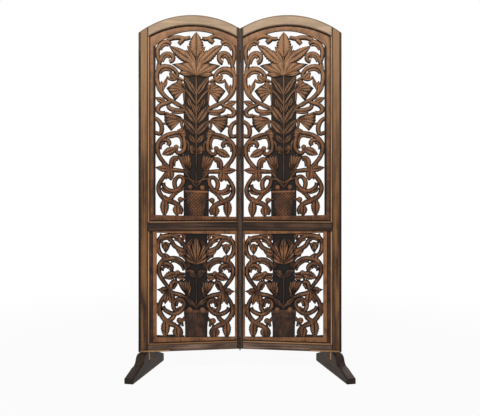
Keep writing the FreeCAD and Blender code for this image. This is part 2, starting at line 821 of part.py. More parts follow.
slack = plain(play)
tongue_x = (plain(groove_wide[0]) + slack, plain(groove_wide[1]) - slack)
field_x = (plain(meeting_inner) + slack, plain(field_outer))
opening_x = (plain(opening_inner), plain(opening_outer))
under_radius = plain(size("arch_radius"))
under_crown = plain(under_centre) + under_radius
sill_line = plain(mid_rail_top + size("sill_recess"))
upper_board = carved_board(
    "upper_board",
    UPPER_DRAWING,
    (UPPER_STEMS, UPPER_LEAVES, UPPER_FANS, UPPER_BUDS, UPPER_TIES, UPPER_POT),
    (
        opening_x,
        (sill_line + plain(size("upper_sill_border")), under_crown - plain(size("upper_head_border"))),
        (plain(size("upper_opening_radius")), plain(carving_axis)),
    ),
    (field_x, (sill_line, under_crown - slack), (under_radius - slack, plain(arch_axis))),
    (
        tongue_x,
        (plain(mid_rail_top - groove) + slack, under_crown + plain(groove) - slack),
        (under_radius + plain(groove) - slack, plain(arch_axis)),
    ),
    (plain(size("upper_slat_half_width")), UPPER_SLAT_TOP),
)
pair(upper_board, "upper_carved_panel")

opening_inset = plain(size("lower_opening_inset"))
lower_sill_line = plain(bottom_rail_top + size("sill_recess"))
head_line = plain(size("mid_rail_bottom"))
lower_field_x = (field_x[0], opening_x[1] - opening_inset + plain(size("lower_outer_border")))
lower_board = carved_board(
    "lower_board",
    LOWER_DRAWING,
    (LOWER_STEMS, LOWER_LEAVES, LOWER_FANS, LOWER_BUDS, LOWER_TIES, LOWER_POT),
    (
        (opening_x[0] + opening_inset, opening_x[1] - opening_inset),
        (
            lower_sill_line + plain(size("lower_sill_border")),
            head_line - plain(size("lower_head_border")),
        ),
        None,
    ),
    (lower_field_x, (lower_sill_line, head_line - slack), None),
    (tongue_x, (plain(bottom_rail_top - groove) + slack, head_line + plain(groove) - slack), None),
    (plain(size("lower_slat_half_width")), LOWER_SLAT_TOP),
)
pair(lower_board, "lower_carved_panel")

# Feet: a board set front to back with its toe turned outwards, coved in front, sloped to the heel behind
# and slotted at the top for the tongue

foot_place = panel_place * Placement(Vector(plain(foot_x), 0, 0), Rotation())
foot_place = Placement(foot_place.Base, Rotation(Vector(0, 0, 1), plain(size("foot_splay_angle")) - 90))


def plane_of(body, role):
    return [feature for feature in body.Origin.OriginFeatures if feature.Role == role][0]


def bowed_edge(start, end, radius, side):
    """An arc that bulges to the left (1) or to the right (-1) of the way from start to end."""
    chord = end - start
    aside = Vector(-chord.y, chord.x, 0).normalize() * side
    centre = start + chord * 0.5 - aside * math.sqrt(radius ** 2 - (chord.Length / 2) ** 2)
    turns = [math.atan2(point.y - centre.y, point.x - centre.x) for point in (start, end)]
    if side > 0:
        turns.reverse()
    if turns[1] < turns[0]:
        turns[1] += 2 * math.pi
    return Part.ArcOfCircle(Part.Circle(centre, Vector(0, 0, 1), radius), *turns)


SAME_POINT = 0.001


def outline_sketch(body, name, corners, bows):
    """A closed outline whose corners, and radii where an edge is bowed, are bound to the sheet."""
    sketch = body.newObject("Sketcher::SketchObject", name)
    sketch.AttachmentSupport = [(plane_of(body, "XZ_Plane"), "")]
    sketch.MapMode = "FlatFace"
    points = [Vector(plain(x), plain(z), 0) for x, z in corners]
    for number, start in enumerate(points):
        end = points[(number + 1) % len(points)]
        if number in bows:
            radius, side = bows[number]
            sketch.addGeometry(bowed_edge(start, end, plain(radius), side))
        else:
            sketch.addGeometry(Part.LineSegment(start, end))
    ends = []
    for number, geometry in enumerate(sketch.Geometry):
        starts_here = geometry.StartPoint.distanceToPoint(points[number]) < SAME_POINT
        ends.append((1, 2) if starts_here else (2, 1))
    for number in range(len(points)):
        after = (number + 1) % len(points)
        sketch.addConstraint(
            Sketcher.Constraint("Coincident", number, ends[number][1], after, ends[after][0])
        )
    for number, corner in enumerate(corners):
        for kind, length in zip(("DistanceX", "DistanceY"), corner):
            place = Sketcher.Constraint(kind, -1, 1, number, ends[number][0], plain(length))
            bind(sketch, "Constraints[%d]" % sketch.addConstraint(place), length)
    for number, (radius, _) in bows.items():
        bow = Sketcher.Constraint("Radius", number, plain(radius))
        bind(sketch, "Constraints[%d]" % sketch.addConstraint(bow), radius)
    return sketch


half_foot = size("foot_length") / 2
half_top = size("foot_top_length") / 2
foot_top = size("foot_height")
toe = size("foot_toe_height")
shoulder = (size("foot_shoulder_reach"), size("foot_shoulder_height"))
cove = (size("foot_cove_reach"), size("foot_cove_height"))
foot_corners = [
    (half_foot, nothing),
    (half_foot, toe),
    cove,
    shoulder,
    (half_top, foot_top),
    (-half_top, foot_top),
    (-half_foot, size("foot_heel_height")),
    (-half_foot, nothing),
]
shoulder_bow = (size("foot_shoulder_radius"), -1)
cove_bow = (size("foot_cove_radius"), 1)
foot_body = doc.addObject("PartDesign::Body", "foot")
foot_bows = {2: cove_bow, 3: shoulder_bow}
foot_outline = outline_sketch(foot_body, "foot_outline", foot_corners, foot_bows)
foot_pad = foot_body.newObject("PartDesign::Pad", "foot_board")
foot_pad.Profile = foot_outline
foot_pad.SideType = "Symmetric"
bind(foot_pad, "Length", size("foot_thickness"))
doc.recompute()
uncut_volume = foot_pad.Shape.Volume

half_tongue = size("foot_tongue_thickness") / 2
slot_half = half_tongue + fit
slot_floor = foot_top - size("foot_tongue_depth") - fit
slot_corners = [
    (-slot_half, slot_floor),
    (slot_half, slot_floor),
    (slot_half, foot_top),
    (-slot_half, foot_top),
]
slot_outline = outline_sketch(foot_body, "slot_outline", slot_corners, {})
foot_slot = foot_body.newObject("PartDesign::Pocket", "foot_slot")
foot_slot.Profile = slot_outline
foot_slot.SideType = "Symmetric"
bind(foot_slot, "Length", size("foot_thickness") * 2)
doc.recompute()
if foot_slot.Shape.Volume >= uncut_volume:
    raise RuntimeError("the slot of the foot is missing")
pair(foot_body, "foot", foot_place)

# Tongue: a block screwed up through the cleat into the stile, which the slot of the foot slides over

half_thick = size("foot_thickness") / 2
tongue_high = (frame_bottom - size("foot_tongue_depth"), frame_bottom)
tongue_bar = block("tongue_bar", (-half_tongue, half_tongue), (-half_thick, half_thick), tongue_high)
tongue_turn = Rotation(Vector(0, 0, 1), plain(size("foot_splay_angle")) + plain(size("fold_angle")) - 90)
turned_tongue = doc.addObject("Part::Compound", "turned_tongue")
turned_tongue.Links = [tongue_bar]
turned_tongue.Placement = Placement(Vector(plain(foot_x), 0, 0), tongue_turn)
pair(cut("foot_tongue", turned_tongue, foot_screw_holes), "foot_tongue")
pair(cut("foot_cleat", cleat_bar, foot_screw_holes), "foot_cleat")
pair(shaped("foot_screws", Part.makeCompound([cleat_screw_shape, tongue_screw_shape])), "foot_screws")

# Spare hinge leaves on the open edges, for joining a further panel

plates = []
plate_blocks = leaf_blocks("plate", plate_across, plate_deep, plate_heights)
for count, seat in enumerate(plate_blocks, start=1):
    plates.append(cut("edge_plate_%d" % count, seat, plate_screw_holes))
plate_group = doc.addObject("Part::Compound", "edge_plates")
plate_group.Links = plates
pair(plate_group, "edge_plates")
pair(shaped("edge_plate_screws", screws(plate_screw_places, plate_screw_length)), "edge_plate_screws")

# Hinges: five knuckles on a loose pin, three on the left leaf and two on the right

knuckle_length = size("hinge_length") / KNUCKLES
knuckle_gap = size("knuckle_clearance")
bore = size("pin_radius") + size("pin_clearance")
web_deep = (hinge_line, front + size("knuckle_radius"))


def hinge_leaf(name, middle, knuckles):
    """A leaf in the right-hand panel's frame, with its own knuckles curled round the pin."""
    bottom = middle - half_leaf
    plate = block(name + "_plate", leaf_across, leaf_deep, (bottom, middle + half_leaf))
    pieces = [cut(name + "_flap", plate, knuckle_hollow(name + "_hollow", middle))]
    for number in knuckles:
        low = bottom + knuckle_length * number + knuckle_gap / 2
        top = bottom + knuckle_length * (number + 1) - knuckle_gap / 2
        barrel = "%s_knuckle_%d" % (name, number)
        pieces.append(post(barrel, size("knuckle_radius"), nothing, hinge_line, (low, top)))
        pieces.append(block("%s_web_%d" % (name, number), leaf_across, web_deep, (low, top)))
    whole_bore = (bottom - knuckle_gap, middle + half_leaf + knuckle_gap)
    hole = post(name + "_bore", bore, nothing, hinge_line, whole_bore)
    return cut(name, fuse(name + "_blank", *pieces), hole, leaf_screw_holes)


for position, middle in hinge_heights.items():
    right_leaf = hinge_leaf("right_%s_leaf" % position, middle, range(1, KNUCKLES, 2))
    right_leaf.Placement = panel_place
    right_leaf.Label = "right_hinge_leaf_" + position
    sub_parts.append(right_leaf)
    left_leaf = hinge_leaf("left_%s_leaf" % position, middle, range(0, KNUCKLES, 2))
    left_leaf.Placement = panel_place
    mirrored("left_hinge_leaf_" + position, left_leaf)
    ends = (middle - finial_reach, middle + finial_reach)
    pin_rod = post("pin_rod_" + position, size("pin_radius"), nothing, hinge_line, ends)
    balls = []
    for end_name, end in zip(("low", "high"), ends):
        ball = doc.addObject("Part::Sphere", "pin_ball_%s_%s" % (position, end_name))
        bind(ball, "Radius", size("finial_radius"))
        bind(ball, "Placement.Base.y", hinge_line)
        bind(ball, "Placement.Base.z", end)
        balls.append(ball)
    pin = fuse("hinge_pin_" + position, pin_rod, *balls)
    pin.Placement = panel_place
    pin.Label = "hinge_pin_" + position
    sub_parts.append(pin)
pair(shaped("hinge_screws", screws(leaf_screw_places, leaf_screw_length)), "hinge_screws")

# Check every object, then write each piece

doc.recompute()
for thing in doc.Objects:
    if "Invalid" in thing.State or "Error" in thing.State:
        raise RuntimeError("%s failed: %s" % (thing.Label, thing.State))
for piece in sub_parts:
    if piece.Shape.isNull() or not piece.Shape.isValid():
        raise RuntimeError("%s has no valid shape" % piece.Label)

os.makedirs("parts", exist_ok=True)
for piece in sub_parts:
    piece.Shape.exportStep("parts/%s.step" % piece.Label)
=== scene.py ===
import json
import math

import bmesh
import bpy
from mathutils import Matrix, Vector

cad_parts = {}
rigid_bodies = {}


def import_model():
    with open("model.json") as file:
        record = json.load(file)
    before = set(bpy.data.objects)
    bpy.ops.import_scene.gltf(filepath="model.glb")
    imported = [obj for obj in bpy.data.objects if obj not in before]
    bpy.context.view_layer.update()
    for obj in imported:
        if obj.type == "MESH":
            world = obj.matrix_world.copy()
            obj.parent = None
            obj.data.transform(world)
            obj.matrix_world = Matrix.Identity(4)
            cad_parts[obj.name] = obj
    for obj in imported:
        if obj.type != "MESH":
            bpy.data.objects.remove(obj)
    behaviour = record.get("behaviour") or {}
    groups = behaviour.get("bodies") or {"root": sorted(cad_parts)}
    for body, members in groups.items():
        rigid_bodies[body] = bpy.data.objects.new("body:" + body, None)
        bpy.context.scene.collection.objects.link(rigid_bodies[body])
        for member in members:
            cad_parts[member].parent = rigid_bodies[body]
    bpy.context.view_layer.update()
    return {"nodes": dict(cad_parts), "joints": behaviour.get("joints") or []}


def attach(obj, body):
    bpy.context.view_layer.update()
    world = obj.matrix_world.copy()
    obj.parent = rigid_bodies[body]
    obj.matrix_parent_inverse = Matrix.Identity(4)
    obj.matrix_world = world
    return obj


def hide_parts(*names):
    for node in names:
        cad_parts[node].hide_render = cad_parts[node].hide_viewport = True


for leftover in list(bpy.data.objects):
    bpy.data.objects.remove(leftover)

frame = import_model()

# Outer stiles. The uprights at the open edges of the panels, planed from straight-grained mango wood and
# stained brown, with the outer arris burnt dark and, beyond it, a strip of painted shade along the outer edge
# of the front. Their tops are sawn to the arch of the frame, the rails are tenoned into them, and a notch at
# the bottom takes the end of the cleat.

# Lengths are in millimetres in the panel's own frame: x from the hinge line to the open edge, y from front
# to back, z up from the floor.
MM = 0.001
SIDES = ("left", "right")
HINGE_LINE = -14.2
FRAME_DEEP = (-14, 14)
FRAME_BOTTOM = 103
ARCH_AXIS = 233.5
ARCH_RADIUS = 470
ARCH_CENTRE = 1370
OUTER_STILE = (478, 524.6)
CLEAT_ACROSS = (364, 517)
CLEAT_TOP = 112
ARRIS = 1.6
BURNT_EDGE = 6.5
STILE_BURN = 4
PAINTED_SHADE_STRIP = (511, 514)
CREASE = math.radians(38)
GRAIN_SHIFT = Vector((911, 137, 71))

fold = frame["joints"][0]
half_fold = math.radians(fold["range_deg"][1]) / 2


def panel_place(side):
    """Takes the right-hand panel's millimetres to the scene, or to the mirror image for the left."""
    place = (
        Matrix.Translation(fold["pos_m"])
        @ Matrix.Rotation(-half_fold, 4, "Z")
        @ Matrix.Scale(MM, 4)
        @ Matrix.Translation((0, -HINGE_LINE, 0))
    )
    return place if side == "right" else Matrix.Scale(-1, 4, (1, 0, 0)) @ place


def arch_line(start, end, centre, radius, steps):
    """Points along an arch over the frame's axis, from one x to another."""
    points = []
    for step in range(steps + 1):
        x = start + (end - start) * step / steps
        points.append((x, centre + math.sqrt(radius ** 2 - (x - ARCH_AXIS) ** 2)))
    return points


def oblong(across, up):
    """The corners of an oblong between two places across and two heights."""
    return [(across[0], up[0]), (across[1], up[0]), (across[1], up[1]), (across[0], up[1])]


def rounded(bm, edges, rounding):
    """Rounds edges over, and gives the narrow faces that take their place."""
    return bmesh.ops.bevel(
        bm, geom=edges, offset=rounding, offset_type="OFFSET", segments=2, profile=0.5,
        affect="EDGES", material=-1, clamp_overlap=True,
    )["faces"]


def eased(bm, rounding, burn):
    """Rounds the arrises and sets the faces in from them, with an edge value that fades inwards."""
    bmesh.ops.recalc_face_normals(bm, faces=bm.faces)
    sharp = [edge for edge in bm.edges if edge.calc_face_angle() > CREASE]
    narrow = set(rounded(bm, sharp, rounding))
    flat = [face for face in bm.faces if face not in narrow]
    bmesh.ops.inset_region(bm, faces=flat, thickness=burn, use_boundary=True, use_even_offset=True)
    edge = bm.verts.layers.float.new("edge")
    for vert in bm.verts:
        vert[edge] = 1.0
    for face in flat:
        for vert in face.verts:
            vert[edge] = 0.0
    return bm


def sawn(outline, deep, rounding=ARRIS, burn=BURNT_EDGE):
    """A board sawn to an outline of (x, z) points between two depths, with its arrises rounded and burnt."""
    bm = bmesh.new()
    face = bm.faces.new([bm.verts.new((x, deep[0], z)) for x, z in outline])
    grown = bmesh.ops.extrude_face_region(bm, geom=[face])["geom"]
    moved = [part for part in grown if isinstance(part, bmesh.types.BMVert)]
    bmesh.ops.translate(bm, vec=(0, deep[1] - deep[0], 0), verts=moved)
    return eased(bm, rounding, burn)


def into_scene(name, data):
    """Puts a new object with this data into the scene."""
    added = bpy.data.objects.new(name, data)
    bpy.context.scene.collection.objects.link(added)
    return added


def stand(shape, name, grain, material, place=Matrix.Identity(4)):
    """Stands a shape in both panels, with the grain along the axis named, and lets it ride with them."""
    order = {"x": (0, 1, 2), "z": (2, 0, 1)}[grain]
    for side in SIDES:
        bm = shape.copy()
        along = bm.verts.layers.float_vector.new("grain")
        shift = GRAIN_SHIFT * len(bpy.data.meshes)
        for vert in bm.verts:
            vert[along] = Vector([vert.co[axis] for axis in order]) + shift
        bmesh.ops.transform(bm, matrix=panel_place(side) @ place, verts=bm.verts)
        bmesh.ops.recalc_face_normals(bm, faces=bm.faces)
        mesh = bpy.data.meshes.new("%s_%s_wood" % (side, name))
        bm.to_mesh(mesh)
        bm.free()
        mesh.shade_smooth()
        mesh.set_sharp_from_angle(angle=CREASE)
        mesh.materials.append(material)
        piece = into_scene(mesh.name, mesh)
        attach(piece, side + "_panel")
        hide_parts("%s_%s" % (side, name))
    shape.free()


def linear(code):
    """An sRGB hex colour as linear RGBA."""
    parts = [int(code[place:place + 2], 16) / 255 for place in (1, 3, 5)]
    return [part / 12.92 if part <= 0.04045 else ((part + 0.055) / 1.055) ** 2.4 for part in parts] + [1.0]


def add_node(tree, kind, inputs, **settings):
    """Adds a node. An input is a number, a colour or the output that it is linked from."""
    node = tree.nodes.new("ShaderNode" + kind)
    for name, value in settings.items():
        setattr(node, name, value)
    for name, value in inputs.items():
        if isinstance(value, bpy.types.NodeSocket):
            tree.links.new(value, node.inputs[name])
        else:
            node.inputs[name].default_value = value
    return node


# Pores and growth lines of this wood are 1 to 3 mm wide. They are drawn 7 to 12 mm wide, so that the
# streaks show from where the screen is seen whole. The colour turns paler towards the top, between the
# heights of FADE in metres. NOISE_RANGE and CLOUD_RANGE hold most of the values that a noise takes, and
# SPREAD names the inputs that take one range to another.
SPREAD = ("Value", "From Min", "From Max", "To Min", "To Max")
STREAK_LENGTH = 380
CLOUD = (150, 48, 48)
CLOUD_SHARE = 0.4
CLOUD_RANGE = (0.35, 0.65)
NOISE_RANGE = (0.3, 0.7)
GRAIN_STOPS = (0.42, 0.5, 0.58)
FADE = (0.85, 1.72)
BUMP_DEPTH = 0.0005
SCORCH = (0.75, 1.0)
GLOSS_SWING = 0.07
WAX_GLOSS = 0.22


def new_material(name):
    """A material with its node tree and its shader."""
    material = bpy.data.materials.new(name)
    material.use_nodes = True
    return material, material.node_tree, material.node_tree.nodes["Principled BSDF"]


def figure(tree, lengths, detail, roughness):
    """The wood's figure: a tone that changes over these lengths along and across the grain."""
    grain = add_node(tree, "Attribute", {}, attribute_name="grain").outputs["Vector"]
    scale = [1 / length for length in lengths]
    place = add_node(tree, "Mapping", {"Vector": grain, "Scale": scale}).outputs[0]
    noise = {"Vector": place, "Scale": 1.0, "Detail": detail, "Roughness": roughness}
    return add_node(tree, "TexNoise", noise).outputs["Fac"]


def paler_upwards(tree, fade):
    """How far the colour turns paler: not at all low down, and by the fade given at the top of the screen."""
    place = add_node(tree, "TexCoord", {}).outputs["Object"]
    height = add_node(tree, "SeparateXYZ", {"Vector": place}).outputs["Z"]
    wearing = dict(zip(SPREAD, (height, *FADE, 0.0, fade)))
    return add_node(tree, "MapRange", wearing, interpolation_type="SMOOTHSTEP").outputs[0]


def stained_wood(name, dark, middle, pale, burnt, faded, fade, streak, roughness):
    """Stained wood: dark and pale streaks along the grain, cloudy stain, burnt arrises, and a paler tone
    towards the top of the screen."""
    material, tree, shader = new_material(name)
    edge = add_node(tree, "Attribute", {}, attribute_name="edge").outputs["Fac"]
    streaks = figure(tree, (STREAK_LENGTH, streak, streak), detail=5.0, roughness=0.66)
    clouds = figure(tree, CLOUD, detail=3.0, roughness=0.5)
    mixed = add_node(tree, "Mix", {0: CLOUD_SHARE, 2: streaks, 3: clouds}, data_type="FLOAT").outputs[0]
    ramp = add_node(tree, "ValToRGB", {"Fac": mixed})
    stops = ramp.color_ramp.elements
    stops[0].position, stops[1].position = GRAIN_STOPS[0], GRAIN_STOPS[2]
    stops[0].color, stops[1].color = linear(dark), linear(pale)
    stops.new(GRAIN_STOPS[1]).color = linear(middle)
    paled_colour = add_node(
        tree, "Mix", {0: paler_upwards(tree, fade), 6: ramp.outputs["Color"], 7: linear(faded)},
        data_type="RGBA",
    ).outputs[2]
    burning = dict(zip(SPREAD, (clouds, *CLOUD_RANGE, *SCORCH)))
    scorch = add_node(tree, "MapRange", burning).outputs[0]
    share = add_node(tree, "Math", {0: edge, 1: scorch}, operation="MULTIPLY").outputs[0]
    colour = add_node(tree, "Mix", {0: share, 6: paled_colour, 7: linear(burnt)}, data_type="RGBA").outputs[2]
    tree.links.new(colour, shader.inputs["Base Color"])
    bump = add_node(tree, "Bump", {"Strength": 0.5, "Distance": BUMP_DEPTH, "Height": streaks}).outputs[0]
    tree.links.new(bump, shader.inputs["Normal"])
    gloss = (roughness - GLOSS_SWING, roughness + GLOSS_SWING)
    shine = dict(zip(SPREAD, (streaks, *NOISE_RANGE, *gloss)))
    tree.links.new(add_node(tree, "MapRange", shine).outputs[0], shader.inputs["Roughness"])
    shader.inputs["Specular IOR Level"].default_value = WAX_GLOSS
    return material


# Stained mango wood: a warm brown with plain dark streaks, paler tan at the top
frame_wood = stained_wood(
    "stained_mango_wood", "#35241a", "#67462f", "#8f663f", burnt="#2a1d16",
    faded="#b58b62", fade=0.7, streak=11, roughness=0.5,
)
outer_outline = [
    (OUTER_STILE[0], CLEAT_TOP), (CLEAT_ACROSS[1], CLEAT_TOP),
    (CLEAT_ACROSS[1], FRAME_BOTTOM), (OUTER_STILE[1], FRAME_BOTTOM),
] + arch_line(*reversed(OUTER_STILE), ARCH_CENTRE, ARCH_RADIUS, steps=5)
outer_stile = sawn(outer_outline, FRAME_DEEP, burn=STILE_BURN)
# The front is cut along its outer edge, and the strip outside the cuts takes the full burnt-edge colour:
# painted shade standing in for the shaded side face of the stile.
for x in PAINTED_SHADE_STRIP:
    everything = outer_stile.verts[:] + outer_stile.edges[:] + outer_stile.faces[:]
    bmesh.ops.bisect_plane(outer_stile, geom=everything, plane_co=(x, 0, 0), plane_no=(1, 0, 0))
edge_layer = outer_stile.verts.layers.float["edge"]
for vert in outer_stile.verts:
    if vert.co.x > sum(PAINTED_SHADE_STRIP) / 2:
        vert[edge_layer] = 1.0
stand(outer_stile, "outer_stile", "z", frame_wood)

# Meeting stiles. The slim uprights either side of the hinges, of the same wood, stained almost black where
# they face each other. The hinge leaves are let into their edges.

MEETING_STILE = (0.1, 13.6)
MEETING_ARRIS = 0.12
MEETING_BURN = 3
# Black-brown stain over mango wood: the grain hardly shows
meeting_wood = stained_wood(
    "black_stained_mango_wood", "#231a15", "#3a2a20", "#553d2d", burnt="#1d1612",
    faded="#4a3629", fade=0.5, streak=9, roughness=0.5,
)
meeting_outline = [
    (MEETING_STILE[0], FRAME_BOTTOM), (MEETING_STILE[1], FRAME_BOTTOM),
] + arch_line(*reversed(MEETING_STILE), ARCH_CENTRE, ARCH_RADIUS, steps=2)
meeting_stile = sawn(meeting_outline, FRAME_DEEP, MEETING_ARRIS, MEETING_BURN)
stand(meeting_stile, "meeting_stile", "z", meeting_wood)

# Arched top rails. Each is bandsawn from one plank, with the grain running across, and tenoned between the
# two stiles. The finish is thinnest here, so the wood shows as a pale tan.

ARCH_DEPTH = 51
ARCH_STEPS = 36
RAIL_ACROSS = (MEETING_STILE[1], OUTER_STILE[0])
under_centre = ARCH_CENTRE - ARCH_DEPTH
# Faded mango wood: pale tan with soft crosswise streaks
arch_wood = stained_wood(
    "faded_mango_wood", "#725842", "#aa8a6b", "#d0b08b", burnt="#5a4533",
    faded="#cdb294", fade=0.62, streak=12, roughness=0.52,
)
arch_outline = arch_line(*RAIL_ACROSS, ARCH_CENTRE, ARCH_RADIUS, ARCH_STEPS)
arch_outline += arch_line(*reversed(RAIL_ACROSS), under_centre, ARCH_RADIUS, ARCH_STEPS)
stand(sawn(arch_outline, FRAME_DEEP), "arched_top_rail", "x", arch_wood)

# Mid rails and bottom rails. Straight crosspieces of dark-stained mango wood, tenoned between the stiles.
# The bottom one is lighter from wear and is notched underneath for the cleat.

MID_RAIL = (723, 766)
BOTTOM_RAIL_TOP = 138
LOW_RAIL_BURN = 3
# Dark-stained mango wood: black brown with a few warmer streaks
rail_wood = stained_wood(
    "dark_stained_mango_wood", "#21170f", "#412e24", "#624838", burnt="#1d1612",
    faded="#412e24", fade=0.0, streak=9, roughness=0.55,
)
# Worn dark stain: the brown of the wood shows through in long streaks
low_rail_wood = stained_wood(
    "worn_dark_stained_mango_wood", "#4a392f", "#7a6152", "#9a7d6a", burnt="#3a2c23",
    faded="#7a6152", fade=0.0, streak=9, roughness=0.5,
)
stand(sawn(oblong(RAIL_ACROSS, MID_RAIL), FRAME_DEEP), "mid_rail", "x", rail_wood)
bottom_outline = [
    (RAIL_ACROSS[0], FRAME_BOTTOM), (CLEAT_ACROSS[0], FRAME_BOTTOM), (CLEAT_ACROSS[0], CLEAT_TOP),
    (RAIL_ACROSS[1], CLEAT_TOP), (RAIL_ACROSS[1], BOTTOM_RAIL_TOP), (RAIL_ACROSS[0], BOTTOM_RAIL_TOP),
]
bottom_rail = sawn(bottom_outline, FRAME_DEEP, burn=LOW_RAIL_BURN)
stand(bottom_rail, "bottom_rail", "x", low_rail_wood)

# Beads. Thin rounded strips of a paler wood, glued in the recess round the boards: upright ones along each
# outer stile, and one on top of the mid rail and of the bottom rail.

BEAD_DEEP = (-11, -1)
BEAD_ACROSS = (469, 478)
SILL_BEAD = 6
BEAD_ROUNDING = 2.4
SILL_ROUNDING = 1.2
BEAD_BURN = 1.2
# Pale mango wood: light orange brown, straight in the grain
bead_wood = stained_wood(
    "pale_mango_wood", "#946c48", "#c29266", "#dcb185", burnt="#8a6242",
    faded="#d2a97e", fade=0.5, streak=8, roughness=0.5,
)
tall_bead = [
    (BEAD_ACROSS[0], MID_RAIL[1]), (BEAD_ACROSS[1], MID_RAIL[1]),
] + arch_line(*reversed(BEAD_ACROSS), under_centre, ARCH_RADIUS, steps=1)
short_bead = oblong(BEAD_ACROSS, (BOTTOM_RAIL_TOP, MID_RAIL[0]))
for name, outline in (("upper_side_bead", tall_bead), ("lower_side_bead", short_bead)):
    stand(sawn(outline, BEAD_DEEP, BEAD_ROUNDING, BEAD_BURN), name, "z", bead_wood)
for name, rail_top in (("upper_sill_bead", MID_RAIL[1]), ("lower_sill_bead", BOTTOM_RAIL_TOP)):
    sill_bead = oblong((RAIL_ACROSS[0], BEAD_ACROSS[0]), (rail_top, rail_top + SILL_BEAD))
    stand(sawn(sill_bead, BEAD_DEEP, SILL_ROUNDING, BEAD_BURN), name, "x", bead_wood)

# Upper carved boards. Each is fretted and carved from one board: a raised border, scrolling stems with lobed
# leaves and buds, and a vase on the axis before a thin dark ground. Every side and hollow is scorched and the
# crests are rubbed back to orange brown. The tongue round the board sits in the frame's grooves.

# Motifs are drawn in millimetres by their distance from the board's axis and their height above the sill of
# the opening. Depths run from 0 at the back of the board to RELIEF at the crests, and tones from 0 for burnt
# ground to about 1 for rubbed crests. Stems and leaves stop at different depths, so that no two of their
# backs lie in one plane.
CARVING_AXIS = 227.5
BOARD_BACK = 7
RELIEF = 16
RECESS_FLOOR = 8
REBATE_RISE = 9
SLAT_RISE = 6
BACK_RUBBED = 0.85
STEM_BACK = 0.4
LEAF_BACK = 0.8
BACK_DEPTH = 1.0
# Across the board, from its axis: what shows between the frame's members, and the raised field
MEMBERS = (14 - CARVING_AXIS, OUTER_STILE[0] - CARVING_AXIS)
FIELD = (14.4 - CARVING_AXIS, 465 - CARVING_AXIS)
UPPER_MEMBER_FOOT = -33
UPPER_FIELD_FOOT = -21
UPPER_OPENING = (-209.5, 209.5)
OPENING_CENTRE = 1445
OPENING_RADIUS = 315
OPENING_SLOPE = 0.03
REBATE = 11
ARCH_LINE = 8
BORDER_TONE = 0.5
BORDER_ROUNDING = 2.2
RING_ARRIS = 0.5
OUTLINE_STEPS = 30
BURNT = 0.0
STEM_WIDTH = 26
STEM_TONE = 0.6
STEM_END = 0.8
STEM_SMOOTHNESS = 6
TIE_WIDTH = 16
TIE_TONE = 0.75
TIE_LIFT = 4
# How far the drawing tilts across the board, and how far it hangs below its place
UPPER_HANG = (0.03, 5.5)
# The lift of the top curls by the meeting stile: up and aside, where it starts and over what length it grows
CORNER_RAISE = 20
CORNER_UP = (770, 70)
CORNER_ASIDE = (40, 60)
STEM_PROFILE = [
    (-1, 0), (-1, 0.3), (-0.72, 0.7), (-0.48, 0.9), (-0.2, 0.99),
    (0.2, 0.99), (0.48, 0.9), (0.72, 0.7), (1, 0.3), (1, 0),
]
# Leaves, fans, buds and pots: widths, depths and spacings in millimetres, and shares, tones and counts
WELD = 0.01
TINY = 0.000001
NARROWEST = 0.4
FLANK_CURVE = 1.5
FEWEST_TEETH = 3
LEAF_TOOTH = 13
TOOTH_STEPS = 4
TOOTH_CUT = 0.2
LEAF_ACROSS = 14
LEAF_EDGE = 4
LEAF_FLANK = 0.64
LEAF_SWELL = 0.85
LEAF_FULLNESS = 0.8
LEAF_ENDS = 0.78
LEAF_TONE = 0.66
RIB_HALF = 0.15
RIB_DEPTH = 3.4
RIB_DARK = 0.95
VEIN_SLANT = 0.8
VEIN_DEPTH = 2.0
VEIN_LIGHT = 0.3
VEIN_DARK = 0.8
FAN_RINGS = 12
FAN_STEPS = 6
FAN_FLANK = 0.8
FAN_CROWN = 0.2
FAN_TONE = 0.74
FAN_VEIN_GROWTH = 3
FAN_VEIN_FADE = 0.5
BUD_TONE = 0.7
BUD_SEGMENTS = (16, 10)
POT_STEPS = (64, 72)
POT_FLANK = 6
POT_SWELL = 6.5
POT_ROUND = 0.85
POT_RIM = 14
RIM_FALL = 6
NET_DEPTH = 3
NET_LINE = 0.34

UPPER_SILL = 799
UPPER_STEMS = [
    [
        (60, 560), (104, 587), (140, 604), (165, 624), (185, 653), (199, 685), (203, 716),
        (200, 742), (186, 762), (158, 774), (127, 769), (107, 753), (98, 732), (108, 714),
    ],
    [(189, 790), (197, 819), (200, 847), (194, 870), (177, 891), (152, 901), (130, 890)],
    [(190, 788), (181, 814), (169, 832), (148, 840), (128, 834), (119, 820), (126, 806), (140, 800)],
    [(155, 902), (139, 915), (114, 925), (86, 927), (60, 924), (30, 932)],
    [(62, 924), (77, 909), (91, 893)],
    [(128, 597), (150, 586), (178, 576), (196, 559), (197, 543), (184, 533), (160, 535)],
    [(60, 552), (98, 551), (124, 554), (140, 562), (146, 576)],
    [(212, 506), (193, 491), (182, 472), (178, 449), (186, 427), (212, 430)],
    [
        (60, 448), (98, 434), (130, 427), (162, 413), (186, 392),
        (199, 366), (199, 335), (187, 304), (162, 273), (136, 246),
    ],
    [(183, 388), (162, 394), (146, 390), (140, 378), (148, 366)],
    [(72, 440), (66, 415), (60, 385), (60, 356), (72, 336), (92, 328), (105, 340)],
    [(132, 240), (129, 262), (129, 280), (121, 297), (104, 304), (93, 294)],
    [(150, 242), (112, 240), (58, 236)],
    [
        (145, 236), (171, 199), (188, 172), (195, 144), (187, 115), (168, 93),
        (142, 79), (114, 69), (90, 55), (78, 36), (84, 12),
    ],
    [
        (170, 174), (167, 156), (152, 140), (124, 131), (98, 136),
        (80, 153), (67, 178), (68, 198), (86, 208), (104, 200),
    ],
    [(98, 204), (111, 184), (111, 158), (103, 136)],
    [(108, 128), (123, 104), (142, 84)],
]
